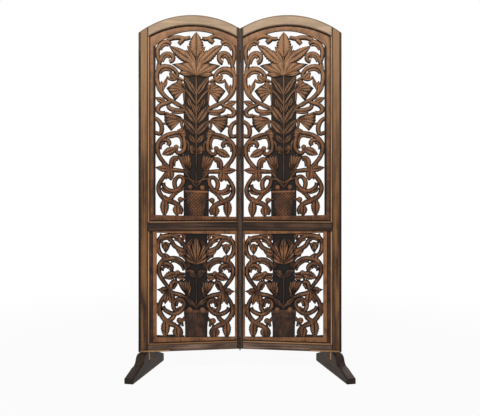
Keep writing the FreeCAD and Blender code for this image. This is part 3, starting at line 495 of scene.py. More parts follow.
UPPER_LEAVES = [
    ((6, 796), (140, 882), 56), ((6, 796), (54, 866), 44), ((14, 846), (47, 888), 24),
    ((100, 712), (141, 744), 36), ((172, 648), (181, 699), 28), ((168, 660), (152, 718), 22),
    ((156, 587), (212, 612), 32), ((104, 352), (178, 318), 44), ((131, 240), (212, 251), 34),
    ((142, 246), (180, 276), 26), ((138, 244), (130, 184), 42), ((148, 228), (157, 188), 24),
    ((163, 94), (165, -4), 46), ((104, 62), (98, 0), 42),
]
UPPER_FANS = [
    ((0, 736), [(60, 727), (94, 741), (80, 758), (128, 789), (84, 797), (46, 808), (0, 822)]),
    ((190, 748), [(208, 762), (204, 790), (181, 785), (158, 789), (168, 764)]),
    ((60, 657), [
        (68, 692), (86, 714), (98, 711), (104, 697), (126, 686), (155, 663),
        (140, 641), (124, 620), (112, 597), (98, 610), (90, 627), (68, 645),
    ]),
    ((68, 505), [
        (84, 522), (111, 530), (135, 535), (156, 541), (168, 531), (165, 507), (166, 495),
        (158, 474), (145, 458), (130, 441), (121, 459), (108, 471), (94, 483), (80, 494),
    ]),
    ((94, 436), [(100, 449), (78, 461), (58, 450), (44, 424), (52, 408), (70, 410), (86, 421)]),
    ((40, 244), [
        (62, 242), (76, 262), (88, 290), (99, 315), (82, 318),
        (66, 323), (50, 324), (32, 324), (27, 300), (26, 262),
    ]),
]
UPPER_BUDS = [((104, 359), 14), ((82, 88), 15), ((32, 152), 16)]
UPPER_TIES = [
    [(82, 88), (92, 54)], [(82, 88), (54, 92)], [(104, 359), (96, 330)], [(184, 478), (158, 478)],
    [(187, 735), (178, 748), (162, 757), (144, 757), (124, 750)],
    [(174, 796), (168, 812), (158, 824), (145, 827), (137, 817)],
    [(184, 857), (175, 875), (160, 885), (142, 883)], [(98, 714), (120, 707), (140, 711), (152, 722)],
    [(66, 704), (84, 714), (100, 722)], [(66, 574), (92, 574), (122, 590)],
    [(66, 541), (98, 538), (128, 540)], [(72, 506), (77, 482), (70, 456)],
    [(144, 408), (126, 411), (105, 417), (87, 413), (78, 396), (76, 372), (83, 352)],
    [(184, 344), (184, 362), (175, 376), (160, 379)], [(114, 258), (114, 277), (108, 291), (95, 295)],
    [(180, 147), (167, 131), (147, 124), (131, 120)], [(108, 113), (95, 127), (79, 137), (66, 145)],
    [(176, 625), (195, 655), (206, 690)], [(166, 106), (146, 91), (116, 80), (96, 70)],
]
UPPER_SLAT_STEMS = [
    [(1, 586), (20, 612), (40, 640), (66, 664)], [(3, 156), (28, 190), (48, 216), (70, 242)],
    [(2, 178), (30, 192), (64, 202)], [(62, 600), (64, 640), (62, 690)], [(62, 400), (44, 384), (40, 344)],
]
UPPER_SLAT_LEAVES = [
    ((2, 634), (58, 722), 36), ((36, 684), (64, 732), 26), ((28, 566), (44, 622), 26),
    ((2, 484), (70, 586), 46), ((2, 428), (70, 506), 44), ((4, 382), (42, 428), 30),
    ((2, 536), (24, 596), 24), ((58, 250), (30, 206), 24),
]
UPPER_SLAT_FANS = [((2, 326), [(30, 328), (40, 350), (41, 367), (30, 376), (17, 373), (4, 356)])]
UPPER_CROWN = ((0, 830), (0, 962), 76)
UPPER_CROWN_TONE = 0.78
UPPER_SPINE = [(0, 132), (0, 330), (0, 560), (0, 740), (0, 850)]
UPPER_SPINE_TONE = 0.55
UPPER_POT = [(-4, 42), (12, 37), (60, 48), (124, 60), (137, 60)]
UPPER_POT_TONE = 1.0
UPPER_NET = 17
UPPER_SLAT = (66, -10, 748)
SLAT_STEM_WIDTH = 13
SLAT_STEM_TONE = 0.85
SLAT_STEM_LIFT = 5
SLAT_LEAF_TONE = 0.55
SLAT_LEAF_CREST = 13.5
SLAT_FAN_TONE = 0.7
SLAT_FAN_CREST = 14.5

stem_profile = bpy.data.curves.new("stem_profile", "CURVE")
stem_profile.dimensions = "2D"
profile_line = stem_profile.splines.new("POLY")
profile_line.points.add(len(STEM_PROFILE) - 1)
profile_line.use_cyclic_u = True
for point, (across, up) in zip(profile_line.points, STEM_PROFILE):
    point.co = (across * STEM_WIDTH / 2, up * RELIEF, 0, 1)
profile_object = into_scene("stem_profile", stem_profile)


def mark(verts, tone):
    """Gives carved points their tone."""
    for vert in verts:
        vert[tone_layer] = tone


def carve_stems(bm, stems, width, tone, lift):
    """Scrolling stems: round-topped bands with burnt flanks, swept along smooth lines, finer at both ends."""
    curve = bpy.data.curves.new("stems", "CURVE")
    curve.dimensions = "3D"
    curve.twist_mode = "Z_UP"
    curve.bevel_mode = "OBJECT"
    curve.bevel_object = profile_object
    curve.use_fill_caps = True
    curve.resolution_u = STEM_SMOOTHNESS
    for stem in stems:
        line = curve.splines.new("BEZIER")
        line.bezier_points.add(len(stem) - 1)
        for number, (knot, point) in enumerate(zip(line.bezier_points, stem)):
            share = number / (len(stem) - 1)
            knot.co = (*point, lift)
            knot.handle_left_type = knot.handle_right_type = "AUTO"
            knot.radius = width / STEM_WIDTH * (STEM_END + (1 - STEM_END) * math.sin(math.pi * share))
    holder = into_scene("stems", curve)
    depsgraph = bpy.context.evaluated_depsgraph_get()
    mesh = bpy.data.meshes.new_from_object(holder.evaluated_get(depsgraph))
    before = len(bm.verts)
    bm.from_mesh(mesh)
    bm.verts.ensure_lookup_table()
    bmesh.ops.remove_doubles(bm, verts=bm.verts[before:], dist=WELD)
    bm.verts.ensure_lookup_table()
    mark(bm.verts[before:], tone)
    bpy.data.objects.remove(holder)
    bpy.data.curves.remove(curve)
    bpy.data.meshes.remove(mesh)


def back_up(bm, verts):
    """Takes the rim of a carved surface straight back, nearly to the board's back, and closes it there."""
    rim = list({edge for vert in verts for edge in vert.link_edges if edge.is_boundary})
    grown = bmesh.ops.extrude_edge_only(bm, edges=rim)["geom"]
    for part in grown:
        if isinstance(part, bmesh.types.BMVert):
            part.co.z = LEAF_BACK
    rim = [part for part in grown if isinstance(part, bmesh.types.BMEdge) and part.is_boundary]
    bmesh.ops.edgeloop_fill(bm, edges=rim)


def flank(share, start):
    """How much of the crest is left on the way to the rim: all of it up to start, none at the rim."""
    return 1 - max(0, (share - start) / (1 - start)) ** FLANK_CURVE


def carve_leaf(bm, base, tip, width, tone, crest=RELIEF):
    """A leaf with a sunk midrib, slanting veins, a toothed edge and burnt flanks."""
    base = Vector((*base, 0))
    run = Vector((*tip, 0)) - base
    aside = Vector((-run.y, run.x, 0)).normalized()
    teeth = max(FEWEST_TEETH, round(run.length / LEAF_TOOTH))
    steps = TOOTH_STEPS * teeth
    made = bmesh.ops.create_grid(bm, x_segments=steps, y_segments=LEAF_ACROSS, size=1)["verts"]
    for vert in made:
        share, out = (vert.co.x + 1) / 2, vert.co.y
        full = math.sin(math.pi * share ** LEAF_SWELL) ** LEAF_FULLNESS if 0 < share < 1 else 0
        tooth = 1 + TOOTH_CUT / 2 - TOOTH_CUT * (share * teeth % 1)
        half = max(NARROWEST, width / 2 * full * tooth)
        rib = math.exp(-(out / RIB_HALF) ** 2)
        vein = 0.5 + 0.5 * math.cos(2 * math.pi * (share * teeth - VEIN_SLANT * abs(out)))
        rise = (crest - LEAF_EDGE) * flank(min(1, abs(out)), LEAF_FLANK)
        rise += LEAF_EDGE - RIB_DEPTH * rib - VEIN_DEPTH * vein * abs(out)
        rise *= LEAF_ENDS + (1 - LEAF_ENDS) * full
        vert.co = base + run * share + aside * out * half + Vector((0, 0, rise))
        vert[tone_layer] = tone + VEIN_LIGHT - RIB_DARK * rib - VEIN_DARK * vein * abs(out)
    back_up(bm, made)


def carve_fan(bm, hub, rim, tone, crest=RELIEF):
    """A lobed leaf or palmette whose veins run from its hub to the points of its rim."""
    hub = Vector((*hub, 0))
    spans = len(rim) - 1
    steps = FAN_STEPS * spans
    grid = bmesh.ops.create_grid(bm, x_segments=steps, y_segments=FAN_RINGS, size=1)["verts"]
    for vert in grid:
        walk, share = (vert.co.x + 1) / 2 * spans, (vert.co.y + 1) / 2
        number = min(int(walk), spans - 1)
        edge = Vector((*rim[number], 0)).lerp(Vector((*rim[number + 1], 0)), walk - number)
        vein = (0.5 + 0.5 * math.cos(2 * math.pi * walk)) * min(1, FAN_VEIN_GROWTH * share)
        crown = 1 - FAN_CROWN + FAN_CROWN * math.sin(math.pi * share)
        rise = LEAF_EDGE + (crest - LEAF_EDGE) * flank(share, FAN_FLANK) * crown
        rise -= RIB_DEPTH * vein * (1 - FAN_VEIN_FADE * share)
        vert.co = hub.lerp(edge, share) + Vector((0, 0, rise))
        vert[tone_layer] = tone + VEIN_LIGHT - RIB_DARK * vein
    bmesh.ops.remove_doubles(bm, verts=grid, dist=WELD)
    back_up(bm, [vert for vert in grid if vert.is_valid])


def carve_bud(bm, centre, radius, tone):
    """A round bud, as deep as the board."""
    around, up = BUD_SEGMENTS
    made = bmesh.ops.create_uvsphere(bm, u_segments=around, v_segments=up, radius=1)["verts"]
    bmesh.ops.scale(bm, vec=(radius, radius, RELIEF / 2), verts=made)
    bmesh.ops.translate(bm, vec=(*centre, RELIEF / 2), verts=made)
    mark(made, tone)


def carve_pot(bm, outline, lattice, tone):
    """A vase that swells towards the front, with a flat rim and, where lattice is given, a diamond net."""
    low, top = outline[0][0], outline[-1][0]
    rim = outline[-2][0]
    made = bmesh.ops.create_grid(bm, x_segments=POT_STEPS[0], y_segments=POT_STEPS[1], size=1)["verts"]
    for vert in made:
        up = low + (top - low) * (vert.co.y + 1) / 2
        number = max(index for index in range(len(outline) - 1) if outline[index][0] <= up + TINY)
        (start, narrow), (end, wide) = outline[number], outline[number + 1]
        half = narrow + (wide - narrow) * (up - start) / (end - start)
        out = vert.co.x * half
        rise = POT_FLANK + POT_SWELL * math.sqrt(1 - POT_ROUND * vert.co.x ** 2)
        if up >= rim:
            rise = POT_RIM - RIM_FALL * ((up - rim) / (top - rim) - 0.5) ** 2
        elif lattice:
            cross = [abs((out + way * up) / lattice % 1 - 0.5) for way in (1, -1)]
            rise -= NET_DEPTH * max(0, max(cross) - NET_LINE) / (0.5 - NET_LINE)
        vert.co = Vector((out, up, rise))
    mark(made, tone)
    back_up(bm, made)


def level(height):
    """A foot or head at one height all the way across."""
    return lambda x: height


def outline_of(left, right, foot, head):
    """A closed outline with straight sides, whose foot and head are functions of the place across."""
    across = [right + (left - right) * step / OUTLINE_STEPS for step in range(OUTLINE_STEPS + 1)]
    return [(left, foot(left)), (right, foot(right))] + [(x, head(x)) for x in across]


def carve_ring(bm, outer, inner, rise, rounding, tone):
    """A flat ring of the board between two outlines, with its front arrises rounded."""
    edges = []
    made = []
    for outline in (outer, inner):
        loop = [bm.verts.new((x, up, 0)) for x, up in outline]
        edges += [bm.edges.new((loop[number - 1], loop[number])) for number in range(len(loop))]
        made += loop
    faces = bmesh.ops.bridge_loops(bm, edges=edges)["faces"]
    grown = bmesh.ops.extrude_face_region(bm, geom=faces)["geom"]
    raised = [part for part in grown if isinstance(part, bmesh.types.BMVert)]
    bmesh.ops.translate(bm, vec=(0, 0, rise), verts=raised)
    mark(made + raised, tone)
    top = set(raised)
    arris = [edge for vert in raised for edge in vert.link_edges if edge.other_vert(vert) in top]
    arris = [edge for edge in set(arris) if edge.calc_face_angle(0) > CREASE]
    rounded(bm, arris, rounding)


def carve_slat(bm, half, low, top):
    """The thin burnt ground behind the middle of the carving."""
    made = bmesh.ops.create_cube(bm, size=1)["verts"]
    bmesh.ops.scale(bm, vec=(2 * half, top - low, SLAT_RISE), verts=made)
    bmesh.ops.translate(bm, vec=(0, (top + low) / 2, SLAT_RISE / 2), verts=made)
    mark(made, BURNT)


# A pair of values is where a change of tone starts and ends, or how far the tone goes down and up: by how
# square a face lies to the front, by its height in the relief and by how far it turns down or up. The last is
# painted light: shade on faces that turn down, a highlight on faces that turn up.
CARVING_STREAK = (70, 7, 7)
CARVING_CLOUD = (40, 40, 40)
CARVING_CLOUD_SHARE = 0.55
CARVED_STOPS = (0.06, 0.3, 0.6, 0.9)
TONE_SHARE = 0.55
TONE_SWING = (-0.28, 0.24)
FACING_FRONT = (0.4, 0.92)
RUBBED_HEIGHT = (0.45, 0.97)
RUBBED_TONE = (-0.25, 0.42)
# Faces turned down get painted shade, faces turned up a painted highlight
TURNED = (-0.7, 0.7)
PAINTED_TURN_SHADE = (-0.22, 0.12)
LEAST_BARE = 0.06


def carved_wood(name, burnt, dark, middle, crest, faded, fade):
    """Carved and scorched wood: black in the hollows, on the cut sides and below the crests, with painted
    shade on faces that turn down and a painted highlight on faces that turn up, orange brown on the crests,
    paler towards the top, with the grain of the board still showing across it."""
    material, tree, shader = new_material(name)
    tone = add_node(tree, "Attribute", {}, attribute_name="tone").outputs["Fac"]
    relief = add_node(tree, "Attribute", {}, attribute_name="relief").outputs["Fac"]
    way = add_node(tree, "TexCoord", {}).outputs["Normal"]
    normal = add_node(tree, "SeparateXYZ", {"Vector": way})
    facing = add_node(tree, "Math", {0: normal.outputs["Y"]}, operation="ABSOLUTE").outputs[0]
    opening = dict(zip(SPREAD, (facing, *FACING_FRONT)))
    open_face = add_node(tree, "MapRange", opening, interpolation_type="SMOOTHSTEP").outputs[0]
    streaks = figure(tree, CARVING_STREAK, detail=4.0, roughness=0.6)
    clouds = figure(tree, CARVING_CLOUD, detail=3.0, roughness=0.55)
    rubbing = dict(zip(SPREAD, (relief, *RUBBED_HEIGHT, *RUBBED_TONE)))
    crestness = add_node(tree, "MapRange", rubbing).outputs[0]
    toned = add_node(
        tree, "Math", {0: tone, 1: TONE_SHARE, 2: crestness}, operation="MULTIPLY_ADD"
    ).outputs[0]
    varied = add_node(
        tree, "Mix", {0: CARVING_CLOUD_SHARE, 2: streaks, 3: clouds}, data_type="FLOAT"
    ).outputs[0]
    swinging = dict(zip(SPREAD, (varied, *CLOUD_RANGE, *TONE_SWING)))
    swing = add_node(tree, "MapRange", swinging).outputs[0]
    rubbed = add_node(tree, "Math", {0: toned, 1: swing}, operation="ADD").outputs[0]
    # Painted light by how a face turns: shade on faces that turn down, a highlight on faces that turn up
    painted_turn_shading = dict(zip(SPREAD, (normal.outputs["Z"], *TURNED, *PAINTED_TURN_SHADE)))
    tilt = add_node(tree, "MapRange", painted_turn_shading).outputs[0]
    amount = add_node(tree, "Math", {0: rubbed, 1: open_face, 2: tilt}, operation="MULTIPLY_ADD").outputs[0]
    ramp = add_node(tree, "ValToRGB", {"Fac": amount})
    stops = ramp.color_ramp.elements
    stops[0].position, stops[1].position = CARVED_STOPS[0], CARVED_STOPS[3]
    stops[0].color, stops[1].color = linear(burnt), linear(crest)
    stops.new(CARVED_STOPS[1]).color = linear(dark)
    stops.new(CARVED_STOPS[2]).color = linear(middle)
    bare = add_node(tree, "MapRange", {"Value": amount, "To Min": LEAST_BARE, "To Max": 1.0}).outputs[0]
    paling_share = add_node(
        tree, "Math", {0: paler_upwards(tree, fade), 1: bare}, operation="MULTIPLY"
    ).outputs[0]
    colour = add_node(
        tree, "Mix", {0: paling_share, 6: ramp.outputs["Color"], 7: linear(faded)}, data_type="RGBA"
    ).outputs[2]
    tree.links.new(colour, shader.inputs["Base Color"])
    bump = add_node(tree, "Bump", {"Strength": 0.6, "Distance": BUMP_DEPTH, "Height": streaks}).outputs[0]
    tree.links.new(bump, shader.inputs["Normal"])
    shader.inputs["Roughness"].default_value = 0.55
    shader.inputs["Specular IOR Level"].default_value = WAX_GLOSS
    return material


def hang(bm, tilt, drop):
    """Lets the carving hang a little towards the meeting stile, and below its drawn place."""
    for vert in bm.verts:
        vert.co.y += tilt * vert.co.x - drop


def raise_corner(bm):
    """Lifts the top curls beside the meeting stile, which are carved higher than their mates."""
    for vert in bm.verts:
        up = min(1, max(0, (vert.co.y - CORNER_UP[0]) / CORNER_UP[1]))
        aside = min(1, max(0, (-vert.co.x - CORNER_ASIDE[0]) / CORNER_ASIDE[1]))
        vert.co.y += CORNER_RAISE * up * aside


def half_carving(stems, leaves, fans, buds, ties, slat_stems, slat_leaves, slat_fans=()):
    """One half of a board's motifs, mirrored to the other half."""
    carve_stems(carving, stems, STEM_WIDTH, STEM_TONE, STEM_BACK)
    carve_stems(carving, ties, TIE_WIDTH, TIE_TONE, TIE_LIFT)
    carve_stems(carving, slat_stems, SLAT_STEM_WIDTH, SLAT_STEM_TONE, SLAT_STEM_LIFT)
    for leaf in leaves:
        carve_leaf(carving, *leaf, LEAF_TONE)
    for leaf in slat_leaves:
        carve_leaf(carving, *leaf, SLAT_LEAF_TONE, SLAT_LEAF_CREST)
    for fan in fans:
        carve_fan(carving, *fan, FAN_TONE)
    for fan in slat_fans:
        carve_fan(carving, *fan, SLAT_FAN_TONE, SLAT_FAN_CREST)
    for centre, radius in buds:
        carve_bud(carving, centre, radius, BUD_TONE)
    halves = carving.verts[:] + carving.edges[:] + carving.faces[:]
    bmesh.ops.mirror(carving, geom=halves, matrix=Matrix.Identity(4), merge_dist=0, axis="X")


def set_board(name, sill, material):
    """Notes each point's height in the relief, with the flat back rubbed brown, and stands the finished
    board in the frame."""
    relief = carving.verts.layers.float.new("relief")
    for vert in carving.verts:
        vert[relief] = vert.co.z / RELIEF if vert.co.z > BACK_DEPTH else BACK_RUBBED
    place = Matrix.Translation((CARVING_AXIS, BOARD_BACK, sill)) @ Matrix.Rotation(math.pi / 2, 4, "X")
    bmesh.ops.transform(carving, matrix=place, verts=carving.verts)
    stand(carving, name, "z", material)


def sill_slope(x):
    """How far the edge of an opening lies above its drawn line: it slopes down to the meeting stile."""
    return OPENING_SLOPE * x


def upper_arch(axis, centre, radius):
    """The height of an arch above the upper sill, by the distance from the carving's axis."""
    return lambda x: centre - UPPER_SILL + math.sqrt(radius ** 2 - (x + CARVING_AXIS - axis) ** 2)


carving = bmesh.new()
tone_layer = carving.verts.layers.float.new("tone")
half_carving(
    UPPER_STEMS, UPPER_LEAVES, UPPER_FANS, UPPER_BUDS, UPPER_TIES,
    UPPER_SLAT_STEMS, UPPER_SLAT_LEAVES, UPPER_SLAT_FANS,
)
carve_leaf(carving, *UPPER_CROWN, UPPER_CROWN_TONE)
carve_stems(carving, [UPPER_SPINE], SLAT_STEM_WIDTH, UPPER_SPINE_TONE, SLAT_STEM_LIFT)
carve_pot(carving, UPPER_POT, UPPER_NET, UPPER_POT_TONE)
carve_slat(carving, *UPPER_SLAT)
raise_corner(carving)
hang(carving, *UPPER_HANG)
under_arch = upper_arch(ARCH_AXIS, under_centre, ARCH_RADIUS)
field_head = upper_arch(ARCH_AXIS, under_centre, ARCH_RADIUS - ARCH_LINE)
opening_head = upper_arch(CARVING_AXIS, OPENING_CENTRE, OPENING_RADIUS)
opening_line = outline_of(*UPPER_OPENING, sill_slope, opening_head)
crest_line = outline_of(UPPER_OPENING[0], UPPER_OPENING[1] + REBATE, sill_slope, opening_head)
field_line = outline_of(*FIELD, level(UPPER_FIELD_FOOT), field_head)
carve_ring(carving, field_line, crest_line, RELIEF, BORDER_ROUNDING, BORDER_TONE)
carve_ring(carving, crest_line, opening_line, REBATE_RISE, RING_ARRIS, BURNT)
member_line = outline_of(*MEMBERS, level(UPPER_MEMBER_FOOT), under_arch)
carve_ring(carving, member_line, field_line, RECESS_FLOOR, RING_ARRIS, BURNT)
# Carved mango wood, scorched and rubbed: black lines round every motif, painted shade under the motifs, a
# painted highlight on their upper flanks, and orange-brown crests
upper_wood = carved_wood(
    "carved_scorched_mango_wood", "#140d09", "#37261c", "#66432e", crest="#986440",
    faded="#c4956d", fade=0.66,
)
set_board("upper_carved_panel", UPPER_SILL, upper_wood)

# Lower carved boards. The same work in a darker board: a lotus palmette over scrolls and a plain pot with
# two rosettes on its rim. These boards are stained deeper, so the crests stay a dark orange brown.

LOWER_SILL = 170
LOWER_OPENING = (-203.5, 203.5)
LOWER_MEMBERS = (-32, 553)
LOWER_FIELD = (-20, 552.6)
LOWER_HEAD = 537
LOWER_BORDER = 20
LOWER_BORDER_TONE = 0.9
LOWER_RECESS_TONE = 1.2
LOWER_HANG = (0.045, 6)
LOWER_STEMS = [
    [(199, 470), (196, 495), (187, 511), (170, 521), (143, 527), (113, 526), (86, 511), (67, 487), (54, 460)],
    [(141, 520), (126, 497), (114, 477), (94, 464), (56, 453)],
    [(192, 500), (197, 478), (195, 452), (183, 430), (160, 416)],
    [
        (52, 360), (67, 388), (87, 404), (112, 411), (141, 407), (170, 397),
        (187, 378), (193, 353), (190, 328), (179, 306), (161, 281), (138, 250),
    ],
    [(178, 372), (158, 383), (138, 376), (127, 360), (134, 346)],
    [(134, 236), (131, 262), (124, 282), (110, 290), (96, 281)],
    [(146, 242), (112, 228), (84, 222), (50, 208)],
    [
        (143, 242), (167, 209), (184, 179), (189, 147), (180, 115), (162, 90),
        (140, 73), (109, 61), (87, 46), (78, 25), (86, 6),
    ],
    [
        (171, 162), (165, 146), (149, 134), (118, 124), (92, 131),
        (73, 149), (61, 171), (66, 191), (86, 201), (106, 195),
    ],
    [(102, 198), (117, 180), (117, 156), (104, 134)],
    [(110, 121), (124, 100), (148, 84)],
]
LOWER_LEAVES = [
    ((170, 504), (186, 538), 28), ((56, 542), (138, 537), 26), ((60, 540), (70, 502), 24),
    ((150, 394), (167, 437), 44), ((50, 436), (106, 455), 40), ((98, 334), (171, 308), 46),
    ((54, 312), (102, 316), 34), ((136, 242), (124, 172), 42), ((150, 230), (163, 172), 28),
    ((158, 94), (161, -4), 46), ((104, 58), (98, -2), 44),
]
LOWER_FANS = [
    ((157, 496), [(183, 489), (179, 466), (158, 434), (141, 458), (131, 487)]),
    ((0, 384), [(58, 390), (63, 430), (56, 458), (62, 496), (36, 494), (28, 478), (18, 512), (0, 527)]),
    ((144, 242), [(156, 262), (175, 263), (186, 254), (205, 247), (188, 236), (178, 224), (162, 227)]),
    ((44, 222), [
        (64, 232), (80, 252), (92, 274), (99, 292), (84, 299),
        (68, 296), (56, 304), (42, 296), (28, 299), (24, 240),
    ]),
]
LOWER_BUDS = [((97, 336), 15), ((87, 90), 16), ((34, 144), 19)]
LOWER_TIES = [
    [(97, 336), (50, 331)], [(97, 332), (110, 288)], [(87, 90), (87, 44)], [(87, 90), (54, 94)],
    [(194, 474), (205, 440)], [(182, 489), (176, 502), (160, 511), (145, 510), (138, 500)],
    [(114, 510), (90, 501), (72, 476)], [(90, 427), (72, 424), (56, 406)],
    [(132, 392), (114, 396), (93, 388), (76, 373), (65, 349)],
    [(126, 398), (108, 402), (88, 396), (68, 380)], [(174, 344), (171, 359), (157, 367), (142, 358)],
    [(119, 251), (111, 266), (101, 277)], [(101, 163), (99, 181), (85, 190), (74, 179)],
    [(80, 160), (92, 150), (108, 146)], [(178, 126), (160, 98), (136, 82), (106, 70)],
    [(196, 180), (200, 147), (192, 112)], [(60, 108), (74, 84), (70, 60)],
]
LOWER_SLAT_STEMS = [[(4, 306), (8, 334), (26, 349), (54, 344)], [(3, 160), (24, 186), (58, 214)]]
LOWER_SLAT_LEAVES = [
    ((4, 166), (60, 210), 30), ((60, 452), (14, 524), 28), ((2, 312), (46, 352), 30),
    ((40, 206), (46, 262), 26), ((30, 366), (60, 392), 22),
]
LOWER_CROWN = ((0, 388), (0, 522), 36)
LOWER_CROWN_TONE = 0.7
LOWER_SPINE = [(0, 140), (0, 200), (0, 270), (0, 330)]
LOWER_SPINE_TONE = 0.6
LOWER_POT = [(-4, 54), (60, 58), (128, 65), (147, 65)]
LOWER_POT_TONE = 0.55
LOWER_SLAT = (58, -10, 545)
# A low carved ledge along the outer half of the sill, toned near black as painted shade for the shadowed edge
# of the opening
LEDGE = [(206, 4), (164, 2), (128, 6), (92, 1), (60, 5)]
LEDGE_WIDTH = 20
LEDGE_PAINTED_SHADE_TONE = 0.1

carving = bmesh.new()
tone_layer = carving.verts.layers.float.new("tone")
half_carving(
    LOWER_STEMS, LOWER_LEAVES, LOWER_FANS, LOWER_BUDS, LOWER_TIES, LOWER_SLAT_STEMS, LOWER_SLAT_LEAVES,
)
carve_leaf(carving, *LOWER_CROWN, LOWER_CROWN_TONE)
carve_stems(carving, [LOWER_SPINE], SLAT_STEM_WIDTH, LOWER_SPINE_TONE, SLAT_STEM_LIFT)
carve_pot(carving, LOWER_POT, None, LOWER_POT_TONE)
carve_slat(carving, *LOWER_SLAT)
# The ledge is carved on the outer half only, and its near-black tone is painted shade.
carve_stems(carving, [LEDGE], LEDGE_WIDTH, LEDGE_PAINTED_SHADE_TONE, STEM_BACK)
hang(carving, *LOWER_HANG)
lower_opening = outline_of(*LOWER_OPENING, sill_slope, lambda x: LOWER_HEAD + sill_slope(x))
lower_crest = outline_of(FIELD[0], LOWER_OPENING[1] + LOWER_BORDER, *map(level, LOWER_FIELD))
lower_members = outline_of(*MEMBERS, *map(level, LOWER_MEMBERS))
carve_ring(carving, lower_crest, lower_opening, RELIEF, BORDER_ROUNDING, LOWER_BORDER_TONE)
carve_ring(carving, lower_members, lower_crest, RECESS_FLOOR, RING_ARRIS, LOWER_RECESS_TONE)
# Deep-stained carved mango wood: chocolate brown, with only the highest crests rubbed to orange brown
lower_wood = carved_wood(
    "deep_stained_carved_mango_wood", "#140e0a", "#33231b", "#5c3f2e", crest="#a06f4a",
    faded="#a06f4a", fade=0.0,
)
set_board("lower_carved_panel", LOWER_SILL, lower_wood)
bpy.data.objects.remove(profile_object)

# Feet. Thick boards set front to back with their toes turned outwards, sawn to a shoulder and a cove in front
# and to a plain slope behind, and slotted on top for the tongue. The darkest wood, waxed to a soft sheen.

FOOT_PLACE = (490, 0, 0)
FOOT_SPLAY = math.radians(13)
FOOT_HALF_THICK = 23
TONGUE_HALF = 9
TONGUE_FLOOR = 62
FOOT_FRONT = [(220, 0), (220, 26), (122, 54), (79, 74), (45, 103)]
FOOT_REAR = [(-45, 103), (-220, 40), (-220, 0)]
COVE_RADIUS = 45
SHOULDER_RADIUS = 40
SLOT_PLAY = 0.1
FOOT_ROUNDING = 3
FOOT_BURN = 6


def bow(start, end, radius, side, steps=8):
    """Points after the start of an arc that bulges to the left (1) or right (-1) of its chord."""
    start, end = Vector(start), Vector(end)
    chord = end - start
    aside = Vector((-chord.y, chord.x)).normalized() * side
    centre = start + chord / 2 - aside * math.sqrt(radius ** 2 - (chord.length / 2) ** 2)
    first, last = start - centre, end - centre
    sweep = last.angle_signed(first)
    points = []
    for step in range(1, steps + 1):
        points.append(tuple(centre + Matrix.Rotation(sweep * step / steps, 2) @ first))
    return points


toe_low, toe_top, cove, shoulder, crown = FOOT_FRONT
front_half = [toe_low, toe_top, cove]
front_half += bow(cove, shoulder, COVE_RADIUS, 1) + bow(shoulder, crown, SHOULDER_RADIUS, -1)
slot_edge = TONGUE_HALF + SLOT_PLAY
slot_floor = TONGUE_FLOOR - SLOT_PLAY
foot_outline = front_half + [
    (slot_edge, FRAME_BOTTOM), (slot_edge, slot_floor),
    (-slot_edge, slot_floor), (-slot_edge, FRAME_BOTTOM),
] + FOOT_REAR
# Waxed sheesham: nearly black brown with a soft sheen
foot_wood = stained_wood(
    "waxed_sheesham", "#170e09", "#2b1c13", "#483222", burnt="#150d08",
    faded="#2b1c13", fade=0.0, streak=12, roughness=0.6,
)
foot_place = Matrix.Translation(FOOT_PLACE) @ Matrix.Rotation(FOOT_SPLAY + half_fold - math.pi / 2, 4, "Z")
foot_deep = (-FOOT_HALF_THICK, FOOT_HALF_THICK)
foot = sawn(foot_outline, foot_deep, FOOT_ROUNDING, FOOT_BURN)
stand(foot, "foot", "x", foot_wood, foot_place)

# Foot tongues and cleats. The tongue is a block in the foot's slot, and the cleat a pale strip let in under
# the frame; screws go up through both. They are plain unstained pine.

CLEAT_DEEP = (-15.5, 15.5)
PINE_ARRIS = 1
TONGUE_EDGE = 2
CLEAT_EDGE = 1
# Plain pine: pale yellow brown, a little dirty
cleat_wood = stained_wood(
    "plain_pine", "#97704b", "#be9166", "#d3ab80", burnt="#7d5c40",
    faded="#be9166", fade=0.0, streak=8, roughness=0.58,
)
tongue_outline = oblong((-TONGUE_HALF, TONGUE_HALF), (TONGUE_FLOOR, FRAME_BOTTOM))
foot_tongue = sawn(tongue_outline, foot_deep, PINE_ARRIS, TONGUE_EDGE)
stand(foot_tongue, "foot_tongue", "z", cleat_wood, foot_place)
cleat_outline = oblong(CLEAT_ACROSS, (FRAME_BOTTOM, CLEAT_TOP))
foot_cleat = sawn(cleat_outline, CLEAT_DEEP, PINE_ARRIS, CLEAT_EDGE)
stand(foot_cleat, "foot_cleat", "x", cleat_wood)

# Hinges, edge plates and screws. Butt hinges of pressed steel with loose pins, spare leaves on the open edges
# and countersunk screws. The hinges have browned, and the spare leaves are still bright.

TARNISH = (0.42, 0.68)
SHINE_SWING = (-0.08, 0.12)


def worn_steel(name, base, stain, roughness, spot):
    """Pressed steel: a dull sheen with darker spots of tarnish, whose size is in millimetres."""
    material, tree, shader = new_material(name)
    shader.inputs["Metallic"].default_value = 1.0
    place = add_node(tree, "TexCoord", {}).outputs["Object"]
    spots = add_node(
        tree, "TexNoise", {"Vector": place, "Scale": 1 / (spot * MM), "Detail": 4.0, "Roughness": 0.6}
    ).outputs["Fac"]
    share = add_node(tree, "MapRange", dict(zip(SPREAD, (spots, *TARNISH)))).outputs[0]
    colour = add_node(tree, "Mix", {0: share, 6: linear(base), 7: linear(stain)}, data_type="RGBA").outputs[2]
    tree.links.new(colour, shader.inputs["Base Color"])
    gloss = [roughness + swing for swing in SHINE_SWING]
    shine = dict(zip(SPREAD, (spots, *NOISE_RANGE, *gloss)))
    tree.links.new(add_node(tree, "MapRange", shine).outputs[0], shader.inputs["Roughness"])
    return material


